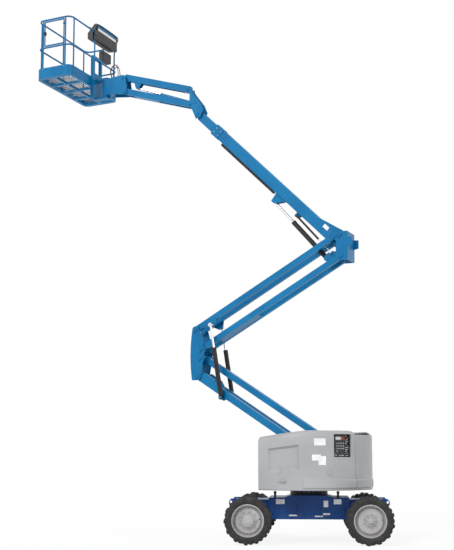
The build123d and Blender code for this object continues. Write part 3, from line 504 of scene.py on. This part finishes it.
def make_tread_bar():
    """One tread bar: wide at its foot, set back at the shoulder."""
    bar = block((0.064, TYRE_WIDTH * 0.47, LUG + BAR_ROOT), 0.004)
    pick_points(bar, lambda co: co.z > 0)
    bpy.ops.transform.resize(value=(0.8, 0.96, 1), center_override=(0, 0, 0))
    pick_points(bar, lambda co: co.y > 0.05)
    bpy.ops.transform.translate(value=(0.018, 0, 0))
    clear_hands()
    return bar


def tread_places(radius, spread, mirrored):
    """A place for each bar of both lanes, with the far lane half a bar on."""
    places = []
    for lane in (-1, 1):
        for i in range(TREAD_BARS):
            turn = 2 * pi / TREAD_BARS * (i + (0.5 if lane > 0 else 0))
            out = Vector((cos(turn), sin(turn), 0))
            across = Vector((-sin(turn), cos(turn), 0)) * (lane if mirrored else 1)
            places.append(stand(out * radius + UP * lane * spread, across, out))
    return places


def make_tyre():
    carcass = make_carcass()
    bar_radius = TYRE_RADIUS - (LUG + BAR_ROOT) / 2
    bars = row_of(make_tread_bar(), tread_places(bar_radius, TYRE_WIDTH * 0.21, True))
    shoulder = block((0.05, 0.03, 0.05), 0.006)
    shoulder_radius = TYRE_RADIUS - LUG - 0.03
    shoulders = row_of(shoulder, tread_places(shoulder_radius, TYRE_WIDTH * 0.45, False))
    tyre = join([carcass, *bars, *shoulders])
    bpy.ops.object.shade_smooth_by_angle(angle=radians(35))
    return tyre


WHEELS = [(end, where, side) for end in ("drive", "steer") for where, side in (("near", -1), ("far", 1))]


def wheel_centre(end, where):
    return JOINT_PLACE[f"{end}_wheel_{where}_spin"]


tyre_places = []
for end, where, side in WHEELS:
    tyre_places.append(stand(wheel_centre(end, where), ALONG_CHASSIS, Vector((0, side, 0))))
for piece, (end, where, side) in zip(row_of(make_tyre(), tyre_places), WHEELS):
    mount(piece, f"{end}_tyre_{where}_tread", f"{end}_wheel_{where}", TYRE)
    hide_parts(f"{end}_tyre_{where}")

# Hubs, nuts and valves on the rims

HUB_FACE = TYRE_WIDTH / 2 - 0.074
DRIVE_CAP = [(0.094, 0.0), (0.094, 0.004), (0.06, 0.012), (0.056, 0.02), (0.03, 0.024)]
STEER_CAP = [(0.043, 0.0), (0.043, 0.01), (0.034, 0.02), (0.018, 0.024)]
NUT_COUNT = 9
NUT_PROUD = 0.0155


def on_a_ring(piece, centre, out, radius, count):
    """The piece repeated round a wheel's axis."""
    places = []
    for i in range(count):
        turn = 2 * pi * i / count
        spoke = Vector((cos(turn), 0, sin(turn)))
        places.append(stand(centre + spoke * radius, ALONG_CHASSIS, out))
    return row_of(piece, places)


def dress_hub(end, where, side):
    """A wheel's cap with its bolts, its nuts and its valve."""
    driven = end == "drive"
    body = f"{end}_wheel_{where}"
    out = Vector((0, side, 0))
    face = wheel_centre(end, where) + out * HUB_FACE
    cap = turned(DRIVE_CAP, 40) if driven else turned(STEER_CAP, 32)
    settle(cap, stand(face + out * (0.053 if driven else 0.045), ALONG_CHASSIS, out))
    bolt = turned([(0.0085, 0), (0.0085, 0.006), (0.006, 0.008)], 6)
    if driven:
        bolts = on_a_ring(bolt, face + out * 0.024, out, 0.112, 12)
    else:
        bolts = on_a_ring(bolt, face + out * 0.026, out, 0.066, 6)
    nut = turned([(0.0075, 0), (0.0075, 0.01), (0.005, 0.012)], 12)
    nuts = on_a_ring(nut, face + out * NUT_PROUD, out, 0.152 if driven else 0.110, NUT_COUNT)
    mount(join(nuts), f"{end}_studs_{where}", body, ZINC)
    mount(join([cap, *bolts]), f"{end}_hub_cap_{where}", body, WHEEL_GREY)
    stem = [face + Vector((0.18, side * 0.001, 0.02)), face + Vector((0.2, side * 0.02, 0.022))]
    stem.append(face + Vector((0.212, side * 0.034, 0.024)))
    mount(tube(stem, 0.004), f"{end}_valve_{where}", body, BLACK)


for end, where, side in WHEELS:
    dress_hub(end, where, side)

# Pins with their keeper plates: a body, a name, the place, the reach from the middle and the radius

link_rise = seen_from_side("lower_link_turn") - seen_from_side("riser_lift")
knuckle_rise = seen_from_side("upper_arm_turn") - seen_from_side("upper_link_turn")
jib_drop = seen_from_side("jib_link_turn") - seen_from_side("jib_lower")
PINS = (
    ("turntable", "lower_pin", seen_from_side("riser_lift"), 0.206, 0.032),
    ("turntable", "link_pin", seen_from_side("lower_link_turn"), 0.206, 0.032),
    ("mid_knuckle", "m1", seen_from_side("mid_knuckle_turn"), 0.204, 0.032),
    ("mid_knuckle", "m2", seen_from_side("mid_knuckle_turn") + link_rise, 0.204, 0.032),
    ("mid_knuckle", "m3", seen_from_side("upper_link_turn"), 0.204, 0.032),
    ("mid_knuckle", "m4", seen_from_side("upper_arm_turn"), 0.204, 0.032),
    ("upper_knuckle", "u3", seen_from_side("upper_knuckle_turn"), 0.204, 0.032),
    ("upper_knuckle", "u4", seen_from_side("upper_knuckle_turn") + knuckle_rise, 0.204, 0.032),
    ("upper_knuckle", "p0", seen_from_side("boom_lift"), 0.204, 0.032),
    ("jib_knuckle", "b0", seen_from_side("jib_level"), 0.118, 0.030),
    ("jib_knuckle", "j1", seen_from_side("jib_lower"), 0.116, 0.024),
    ("jib_knuckle", "j2", seen_from_side("jib_link_turn"), 0.116, 0.024),
    ("jib_end", "k1", seen_from_side("jib_end_level"), 0.116, 0.024),
    ("jib_end", "k2", seen_from_side("jib_end_level") + jib_drop, 0.116, 0.024),
)
KEEPER_TURN = -60


def make_pin_head(radius):
    """A pin's chamfered head with a flat keeper bar and its bolt."""
    edge = [(radius, -0.003), (radius, 0.004), (radius - 0.004, 0.008)]
    head = turned(edge + [(radius * 0.3, 0.008), (radius * 0.2, 0.004)], 32)
    bar = block((radius * 2.9, radius * 0.7, 0.006), 0.0015)
    settle(bar, Matrix.Translation((radius * 0.9, 0, -0.001)))
    bolt = turned([(0.011, 0), (0.011, 0.008), (0.008, 0.01)], 6)
    settle(bolt, Matrix.Translation((radius * 1.95, 0, 0.002)))
    return join([head, bar, bolt])


for body, name, place, reach, radius in PINS:
    places = [stand(spot(*place, reach), along(KEEPER_TURN), NEAR)]
    places.append(stand(spot(*place, -reach), along(KEEPER_TURN + 180), -NEAR))
    heads = join(row_of(make_pin_head(radius), places))
    mount(heads, f"{body}_pin_{name}", body, BLUE)

# Moulded hoods in place of the plain ones

cover_low, cover_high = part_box("cover_near")
HOOD_LEDGE = -cover_low.y - 0.001
HOOD = -cover_low.y - HOOD_TRIM
HOOD_LOW, HOOD_TOP = cover_low.z, cover_high.z - HOOD_SINK
SHELL = 0.022
COVER_INSIDE, COVER_FRONT, COVER_CORNER = 0.47, 0.56, 0.12
CASTING_HALF, CASTING_FRONT, CASTING_TOP = 0.462, -0.705, 1.838
RECESS_TURNS, RECESS_HEIGHTS, RECESS_RIM, RECESS_DEPTH = (72, 101), (1.24, 1.67), 0.03, -0.034
LEDGE_TURNS, LEDGE_HEIGHTS, LEDGE_RIM = (105, 160), (0.93, 1.09), 0.02
WINDOW = (0.345, 0.385, 0.4)


def hood_turn(point, side):
    """The turn from forward to the given side of a point round the turntable."""
    return degrees(atan2(point.dot(NEAR) * side, point.dot(FORWARD)))


def hood_block():
    """The whole round hood as one turned block, before it is cut into covers and casting."""
    heights = [HOOD_LOW + 0.012, *LEDGE_HEIGHTS, *RECESS_HEIGHTS, HOOD_TOP - 0.09]
    rings = [(HOOD - 0.012, HOOD_LOW)] + [(HOOD, height) for height in heights]
    rings += [(HOOD - 0.012, HOOD_TOP - 0.054), (HOOD - 0.035, HOOD_TOP - 0.027)]
    rings += [(HOOD - 0.065, HOOD_TOP - 0.008), (HOOD - 0.1, HOOD_TOP)]
    return solid_of_rings(rings, 120, SLEW)


def cut_flat(piece, where, away):
    """Cut the piece flat and throw off what lies on the side that the direction points to."""
    edit()
    bpy.ops.mesh.select_all(action="SELECT")
    bpy.ops.mesh.bisect(plane_co=where, plane_no=away, use_fill=True, clear_outer=True)
    bpy.ops.object.mode_set(mode="OBJECT")


def press(piece, side, turns, heights, rim, depth):
    """Sink or raise a field of the round wall between two turns and two heights."""

    def in_field(centre, normal):
        on_wall = abs(hypot(centre.x, centre.y) - HOOD) < 0.01
        turned_in = turns[0] < hood_turn(centre, side) < turns[1]
        return on_wall and turned_in and heights[0] < centre.z < heights[1]

    pick_faces(piece, in_field)
    bpy.ops.mesh.inset(thickness=rim, depth=depth)
    bpy.ops.object.mode_set(mode="OBJECT")


def finish_modifier(piece, kind, **settings):
    """Add a modifier to a piece with its settings, and apply it."""
    take(piece)
    modifier = piece.modifiers.new("shaping", kind)
    for key, value in settings.items():
        setattr(modifier, key, value)
    bpy.ops.object.modifier_apply(modifier="shaping")


def make_cover(side):
    """One side's hood: round wall, rounded front corner, hollow towards the arms and the ground."""
    piece = hood_block()
    press(piece, side, RECESS_TURNS, RECESS_HEIGHTS, RECESS_RIM, RECESS_DEPTH)
    press(piece, side, LEDGE_TURNS, LEDGE_HEIGHTS, LEDGE_RIM, HOOD_LEDGE - HOOD)
    cut_flat(piece, NEAR * side * COVER_INSIDE, NEAR * -side)
    cut_flat(piece, FORWARD * COVER_FRONT, FORWARD)
    front = FORWARD * COVER_FRONT + NEAR * side * (HOOD**2 - COVER_FRONT**2) ** 0.5
    below_rounding = HOOD_TOP - 0.065
    pick_points(piece, lambda co: hypot(co.x - front.x, co.y - front.y) < 0.02 and co.z < below_rounding)
    bpy.ops.mesh.select_mode(type="EDGE")
    bpy.ops.mesh.bevel(offset=COVER_CORNER, segments=6, affect="EDGES")
    pick_faces(piece, lambda c, n: n.z < -0.9 or n.dot(NEAR) * side < -0.9)
    bpy.ops.mesh.delete(type="FACE")
    pick_points(piece, lambda co: co.z > HOOD_TOP - 0.155 and co.dot(FORWARD) > 0.5)
    bpy.ops.transform.translate(
        value=(0, 0, -0.1),
        use_proportional_edit=True,
        proportional_edit_falloff="LINEAR",
        proportional_size=0.8,
    )
    finish_modifier(piece, "SOLIDIFY", thickness=SHELL, offset=-1)
    return piece


def cut_window(piece):
    """The ground controls' window, cut through the near cover."""
    window = block(WINDOW, 0.012)
    out = hood_spot(1, PANEL_TURN, 0)
    settle(window, stand(hood_spot(HOOD, PANEL_TURN, WINDOW_MIDDLE), UP.cross(out), out))
    finish_modifier(piece, "BOOLEAN", operation="DIFFERENCE", solver="EXACT", object=window)
    bpy.data.objects.remove(window)


COVERS = (("cover_near", 1), ("cover_far", -1))
for body, side in COVERS:
    cover = make_cover(side)
    if side > 0:
        cut_window(cover)
    take(cover)
    bpy.ops.object.shade_smooth_by_angle(angle=radians(28))
    mount(cover, f"{body}_hood", body, COWL_GREY)
    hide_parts(body)
casting = hood_block()
for way in (NEAR, -NEAR):
    cut_flat(casting, way * CASTING_HALF, way)
cut_flat(casting, FORWARD * CASTING_FRONT, FORWARD)
cut_flat(casting, UP * CASTING_TOP, UP)
press(casting, 1, (0, 360), LEDGE_HEIGHTS, LEDGE_RIM, HOOD_LEDGE - HOOD)
bpy.ops.object.shade_smooth_by_angle(angle=radians(28))
mount(casting, "counterweight_casting", "turntable", COWL_GREY)
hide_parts("counterweight")

# Hood trim: grips, latches and blank labels

GRIP_TURNS, GRIP_HEIGHT, GRIP_REACH = (84, 90), 1.06, 0.036
LATCH_HEIGHT, SMALL_LATCH_TURN, LARGE_LATCH_TURN = 1.21, 84, 128
COVER_LABELS = ((120, 1.71, 0.2, 0.12), (117, 1.45, 0.15, 0.1), (122, 1.40, 0.13, 0.15))


def label(name, centre, across, out, size, body):
    """A bare plate of a given width and height."""
    plate = draw_in(block((*size, 0.003), 0.001, 1), 0.0005)
    mount(settle(plate, stand(centre, across, out)), name, body, PALE_LABEL)


def trim_cover(body, side):
    """A cover's bar grip, its small latch and its large one."""
    first, last = GRIP_TURNS
    stops = [(first, -0.01), (first, 0.03), (first + 1, GRIP_REACH)]
    stops += [(last - 1, GRIP_REACH), (last, 0.03), (last, -0.01)]
    grip = tube([hood_spot(HOOD + proud, side * turn, GRIP_HEIGHT) for turn, proud in stops], 0.009, False)
    mount(grip, f"{body}_grip", body, COWL_GREY)
    latches = []
    for turn, drawn_in in ((SMALL_LATCH_TURN, 0.004), (LARGE_LATCH_TURN, 0.0)):
        out = hood_spot(1, side * turn, 0)
        latch = draw_in(block((0.05, 0.09, 0.014), 0.004), drawn_in)
        centre = hood_spot(HOOD + 0.004, side * turn, LATCH_HEIGHT)
        latches.append(settle(latch, stand(centre, out.cross(UP), out)))
    mount(join(latches), f"{body}_latches", body, COWL_GREY)


for body, side in COVERS:
    trim_cover(body, side)
for i, (turn, height, wide, tall) in enumerate(COVER_LABELS):
    out = hood_spot(1, turn, 0)
    centre = hood_spot(HOOD + 0.001, turn, height)
    label(f"cover_label_{i}", centre, out.cross(UP), out, (wide, tall), "cover_near")

# Ground control panel behind the near cover's window

PANEL_OUT = hood_spot(1, PANEL_TURN, 0)
PANEL_ACROSS = UP.cross(PANEL_OUT)
LEGEND_COUNT, LEGEND_SPACE, LEGEND_RISE = 11, 0.032, 0.033
BEZEL_HALF, BEZEL_LOW, BEZEL_HIGH = 0.115, 1.52, 1.845


def panel_place(across, height, proud=0.0):
    centre = hood_spot(PANEL_RADIUS + proud, PANEL_TURN, height) + PANEL_ACROSS * across
    return stand(centre, PANEL_ACROSS, PANEL_OUT)


def panel_piece(piece, place, name, finish):
    mount(settle(piece, place), name, "turntable", finish)


bezel = block((0.216, 0.318, 0.009), 0.002)
panel_piece(bezel, panel_place(0, PANEL_MIDDLE, -0.0015), "ground_panel_bezel", DARK_PANEL)
surround = block((0.40, 0.44, 0.006), 0.002)
panel_piece(surround, panel_place(0, WINDOW_MIDDLE, -0.006), "ground_panel_surround", DARK_PANEL)
places = []
for column in range(LEGEND_COUNT):
    for row in range(LEGEND_COUNT):
        across, height = LEGEND_SPACE * (column - 5), 1.485 + LEGEND_RISE * row
        beside_bezel = abs(across) > BEZEL_HALF or not BEZEL_LOW < height < BEZEL_HIGH
        if beside_bezel and (column * 5 + row * 3) % 4:
            places.append(panel_place(across, height, -0.002))
legends = join(row_of(block((0.022, 0.014, 0.003), 0.001, 1), places))
mount(legends, "ground_panel_legends", "turntable", PALE_LABEL)
places = []
for column in range(4):
    for row in range(3):
        places.append(panel_place(-0.062 + 0.042 * column, 1.60 + 0.045 * row, 0.003))
button = turned([(0.011, 0), (0.011, 0.005), (0.008, 0.012), (0.004, 0.013)], 16)
mount(join(row_of(button, places)), "ground_panel_buttons", "turntable", GREY_BUTTON)
screen = block((0.11, 0.05, 0.004), 0.0015)
panel_piece(screen, panel_place(-0.03, 1.775, 0.003), "ground_panel_screen", PALE_LABEL)
stop_ring = turned([(0.026, 0), (0.026, 0.004), (0.02, 0.006)], 32)
panel_piece(stop_ring, panel_place(0.06, 1.78, 0.001), "ground_stop_ring", YELLOW_PLASTIC)
stop = turned([(0.013, 0), (0.013, 0.014), (0.021, 0.018), (0.021, 0.026), (0.014, 0.031)], 32)
panel_piece(stop, panel_place(0.06, 1.78, 0.003), "ground_stop_button", RED_PLASTIC)
key = turned([(0.014, 0), (0.014, 0.005), (0.009, 0.008), (0.009, 0.016)], 24)
panel_piece(key, panel_place(-0.06, 1.555, 0.003), "ground_key_switch", ZINC)

# Chassis trim: labels, bearing bolts, posts and ribs

CHASSIS_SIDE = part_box("chassis_frame")[1].y
BEARING_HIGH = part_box("swing_bearing")[1]
BEARING_BOLTS = 24
POST_X, POST_Y, POST_FOOT = (-0.58, 0.5), -0.47, 0.768
RIB_X, RIB_MIDDLE = (-0.6, -0.2, 0.2, 0.6), 0.56
CHASSIS_LABELS = (
    (-0.49, 0.70, 0.15, 0.085),
    (-0.268, 0.467, 0.15, 0.022),
    (0.29, 0.663, 0.08, 0.11),
    (0.17, 0.453, 0.14, 0.022),
    (0.30, 0.492, 0.12, 0.03),
    (0.49, 0.70, 0.13, 0.085),
)
for i, (x, height, wide, tall) in enumerate(CHASSIS_LABELS):
    for where, side in (("near", -1), ("far", 1)):
        centre = Vector((x * -side, side * (CHASSIS_SIDE + 0.001), height))
        across, out = Vector((-side, 0, 0)), Vector((0, side, 0))
        label(f"chassis_label_{where}_{i}", centre, across, out, (wide, tall), "chassis")
places = []
for i in range(BEARING_BOLTS):
    turn = 2 * pi * i / BEARING_BOLTS
    spoke = Vector((cos(turn), sin(turn), 0))
    places.append(stand(spoke * (BEARING_HIGH.x - 0.014) + UP * BEARING_HIGH.z, ALONG_CHASSIS, UP))
bolt = turned([(0.013, 0), (0.013, 0.009), (0.009, 0.012)], 6)
mount(join(row_of(bolt, places)), "bearing_bolts", "chassis", ZINC)
post = turned([(0.02, 0), (0.02, 0.07), (0.026, 0.075), (0.026, 0.1), (0.018, 0.108)], 24)
places = [stand(Vector((x, POST_Y, POST_FOOT)), ALONG_CHASSIS, UP) for x in POST_X]
mount(join(row_of(post, places)), "chassis_posts", "chassis", BLACK)
for where, side in (("near", -1), ("far", 1)):
    rib = block((0.012, 0.02, 0.2), 0.003)
    rib_y = side * (CHASSIS_SIDE + 0.008)
    places = [stand(Vector((x, rib_y, RIB_MIDDLE)), ALONG_CHASSIS, UP) for x in RIB_X]
    mount(join(row_of(rib, places)), f"chassis_ribs_{where}", "chassis", CHASSIS_BLUE)

# Hose carrier, hoses, pad bolts and patches on the boom

BOOM_DIR, BOOM_UP = along(BOOM_RISE), along(BOOM_RISE + 90)
BOOM_SIDE = 0.0885
TRACK_FROM, TRACK_PITCH, TRACK_LINKS = 1.66, 0.056, 27


def boom_spot(s, n, w=0.0):
    """A point of the boom: s out from its pivot, n up from its line, w to the near side."""
    return JOINT_PLACE["boom_lift"] + BOOM_DIR * s + BOOM_UP * n + NEAR * w


def make_track_link():
    link = block((0.05, TRACK_PITCH, 0.07), 0.006)
    pick_faces(link, lambda c, n: abs(n.z) > 0.9)
    bpy.ops.mesh.inset(thickness=0.008, depth=-0.003, use_individual=True)
    return link


places = []
for i in range(TRACK_LINKS):
    places.append(stand(boom_spot(TRACK_FROM + TRACK_PITCH * i, -0.283, -0.047), BOOM_DIR, NEAR))
chain = join(row_of(make_track_link(), places))
mount(chain, "hose_track_links", "boom", BLACK_PLASTIC)
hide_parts("hose_track")
for i, n in enumerate((-0.2, -0.172)):
    run = [boom_spot(0.35, n, -0.095), boom_spot(0.9, n - 0.004, -0.096), boom_spot(1.5, n, -0.095)]
    run += [boom_spot(1.62, n - 0.03, -0.085), boom_spot(1.68, -0.26, -0.06)]
    mount(tube(run, 0.009), f"boom_hose_{i}", "boom", HOSE)
places = []
for side in (1, -1):
    for s in (3.26, 3.38):
        for n in (-0.20, -0.112):
            places.append(stand(boom_spot(s, n, side * BOOM_SIDE), BOOM_DIR, NEAR * side))
pad_bolt = turned([(0.011, 0), (0.011, 0.006), (0.008, 0.008)], 6)
mount(join(row_of(pad_bolt, places)), "boom_pad_bolts", "boom", ZINC)
for where, side in (("near", 1), ("far", -1)):
    centre = boom_spot(0.34, -0.1, side * BOOM_SIDE)
    label(f"boom_patch_{where}", centre, BOOM_DIR, NEAR * side, (0.12, 0.07), "boom")

# Platform controls: a sloping panel in the console, its guard and a document box

ROTATOR_U = seen_from_side("platform_rotate").x
PLATFORM_U = ROTATOR_U + 0.282
PLATFORM_MID = ROTATOR_U + 0.683
FLOOR_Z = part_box("platform_floor")[0].z
CONSOLE_U, CONSOLE_LOW, CONSOLE_MID = PLATFORM_U - 0.057, FLOOR_Z + 1.027, -0.35
SLOPE_FROM = spot(CONSOLE_U + 0.220, CONSOLE_LOW + 0.160)
SLOPE_TO = spot(CONSOLE_U + 0.060, CONSOLE_LOW + 0.330)
SLOPE_OUT = NEAR.cross((SLOPE_TO - SLOPE_FROM).normalized())
GUARD_MIDDLE = (0.024, 0.318, 0.0)
GUARD_SIDE = ((-0.02, 0.2, 0.412), (0.01, 0.28, 0.43), (0.02, 0.316, 0.38))


def console_place(share, w, proud):
    centre = SLOPE_FROM.lerp(SLOPE_TO, share) + NEAR * w + SLOPE_OUT * proud
    return stand(centre, NEAR, SLOPE_OUT)


def console_piece(piece, place, name, finish):
    mount(settle(piece, place), name, "platform", finish)


panel = block((0.74, 0.205, 0.006), 0.002)
console_piece(panel, console_place(0.5, CONSOLE_MID, 0.001), "platform_panel", DARK_PANEL)
toggle_foot = [(0.014, 0), (0.012, 0.006), (0.006, 0.008)]
toggle = turned(toggle_foot + [(0.006, 0.03), (0.009, 0.034), (0.009, 0.046)], 16)
places = [console_place(0.3 + 0.35 * (i % 2), -0.66 + 0.052 * i, 0.004) for i in range(8)]
mount(join(row_of(toggle, places)), "platform_toggles", "platform", GREY_BUTTON)
boot = [(0.036, 0), (0.032, 0.012), (0.02, 0.024), (0.012, 0.035)]
handle = [(0.01, 0.068), (0.017, 0.08), (0.019, 0.105), (0.012, 0.118)]
places = [console_place(0.45, w, 0.003) for w in (-0.2, -0.03)]
sticks = join(row_of(turned(boot + handle, 24), places))
mount(sticks, "platform_joysticks", "platform", BLACK_PLASTIC)
stop = turned([(0.014, 0), (0.014, 0.014), (0.023, 0.019), (0.023, 0.028), (0.015, 0.034)], 32)
console_piece(stop, console_place(0.7, -0.115, 0.004), "platform_stop_button", RED_PLASTIC)
stops = [*GUARD_SIDE, GUARD_MIDDLE] + [(back, up, -across) for back, up, across in reversed(GUARD_SIDE)]
guard = [spot(CONSOLE_U - back, CONSOLE_LOW + up, CONSOLE_MID + across) for back, up, across in stops]
mount(tube(guard, 0.011), "console_guard", "platform", BLACK)
centre = spot(CONSOLE_U - 0.001, CONSOLE_LOW + 0.222, CONSOLE_MID)
label("console_blank", centre, NEAR, -FORWARD, (0.70, 0.055), "platform")
brow_place = stand(spot(CONSOLE_U - 0.002, CONSOLE_LOW + 0.282, CONSOLE_MID), NEAR, -FORWARD)
console_piece(block((0.74, 0.05, 0.008), 0.003), brow_place, "console_brow", BLUE)
box_place = stand(spot(PLATFORM_U + 0.11, FLOOR_Z + 0.86, -0.55), FORWARD, UP)
console_piece(block((0.12, 0.30, 0.20), 0.01), box_place, "document_box", BLACK_PLASTIC)

# Gate latch, lanyard rings and toe-board rivets

latch_place = stand(spot(PLATFORM_MID + 0.215, FLOOR_Z + 0.93, 0.894), FORWARD, UP)
mount(settle(block((0.03, 0.05, 0.07), 0.005), latch_place), "gate_latch", "gate", BLACK)
clear_hands()
bpy.ops.mesh.primitive_torus_add(
    major_radius=0.026, minor_radius=0.006, major_segments=24, minor_segments=10
)
ring = bpy.context.object
places = [stand(spot(PLATFORM_U + 0.034, FLOOR_Z + 0.14, w), UP, NEAR) for w in (-0.5, 0.5)]
mount(join(row_of(ring, places)), "lanyard_rings", "platform", YELLOW_PLASTIC)
rivet_z = FLOOR_Z + 0.19
places = [stand(spot(PLATFORM_MID + 0.4005, rivet_z, -0.72 + 0.18 * i), NEAR, FORWARD) for i in range(9)]
places += [stand(spot(PLATFORM_MID - 0.24 + 0.16 * i, rivet_z, 0.9155), FORWARD, NEAR) for i in range(4)]
rivet = turned([(0.008, 0), (0.007, 0.003), (0.004, 0.005)], 12)
mount(join(row_of(rivet, places)), "toe_board_rivets", "platform", ZINC)

# Hose loops above the jib's end

for i, (w, swell) in enumerate(((-0.045, 0.0), (0.0, 0.035), (0.045, 0.015))):
    loop = [spot(4.00, 8.97, w), spot(3.99 - swell, 9.12, w), spot(4.02, 9.29 + swell, w)]
    loop += [spot(4.10, 9.32 + swell, w), spot(4.17 + swell, 9.22, w)]
    loop += [spot(4.14, 9.06, w), spot(4.08, 8.97, w)]
    mount(tube(loop, 0.007), f"jib_end_hose_{i}", "jib_end", HOSE)

# Studio floor, world and lamps

FLOOR_WHITENESS = 0.88
clear_hands()
bpy.ops.mesh.primitive_plane_add(size=400)
floor = bpy.context.object
floor.name = "studio_floor"
pale = Finish("studio_floor")
seen_directly = pale.node("ShaderNodeLightPath", {}, {}, "Is Camera Ray")
grain = pale.noise(3, 2)
pale.set(Base_Color=pale.blend(grain, (0.86, 0.86, 0.86), (0.9, 0.9, 0.9)), Roughness=0.8)
glow = pale.node("ShaderNodeEmission", {}, {"Color": (1, 1, 1), "Strength": 1.0})
lit = Wire(pale, pale.shader.outputs[0])
both = pale.node("ShaderNodeMixShader", {}, {0: seen_directly * FLOOR_WHITENESS, 1: lit, 2: glow})
pale.show(both, "Material Output")
floor.data.materials.append(pale.material)

world = bpy.data.worlds.new("studio")
world.use_nodes = True
bpy.context.scene.world = world
sky = Nodes(world.node_tree)
sky.tree.nodes.remove(sky.tree.nodes["Background"])
soft = sky.node("ShaderNodeBackground", {}, {"Color": (0.94, 0.97, 1.0), "Strength": 0.55})
white = sky.node("ShaderNodeBackground", {}, {"Color": (1, 1, 1), "Strength": 1.0})
seen = sky.node("ShaderNodeLightPath", {}, {}, "Is Camera Ray")
for ray in ("Is Glossy Ray", "Is Transmission Ray"):
    seen = seen.math("MAXIMUM", seen, sky.node("ShaderNodeLightPath", {}, {}, ray))
sky.show(sky.node("ShaderNodeMixShader", {}, {0: seen, 1: soft, 2: white}), "World Output")

for name, energy, tilt, turn, spread in (("key", 2.0, 48, -38, 24), ("fill", 0.7, 62, 52, 40)):
    clear_hands()
    bpy.ops.object.light_add(type="SUN", location=(0, 0, 14), rotation=(radians(tilt), 0, radians(turn)))
    lamp = bpy.context.object
    lamp.name = f"studio_{name}"
    lamp.data.energy = energy
    lamp.data.angle = radians(spread)

# Camera, standing low in front of the near side

CAMERA_PLACE = (0.11, -18.8, 1.45)
CAMERA_RISE, CAMERA_YAW = 6.93, 4.75
clear_hands()
facing = (radians(90 + CAMERA_RISE), 0, radians(CAMERA_YAW))
bpy.ops.object.camera_add(location=CAMERA_PLACE, rotation=facing)
camera = bpy.context.object
camera.data.lens = 68.7
camera.data.sensor_width = 36
camera.data.shift_y = 0.10
camera.data.clip_end = 500
bpy.context.scene.camera = camera
bpy.context.scene.view_settings.view_transform = "Standard"
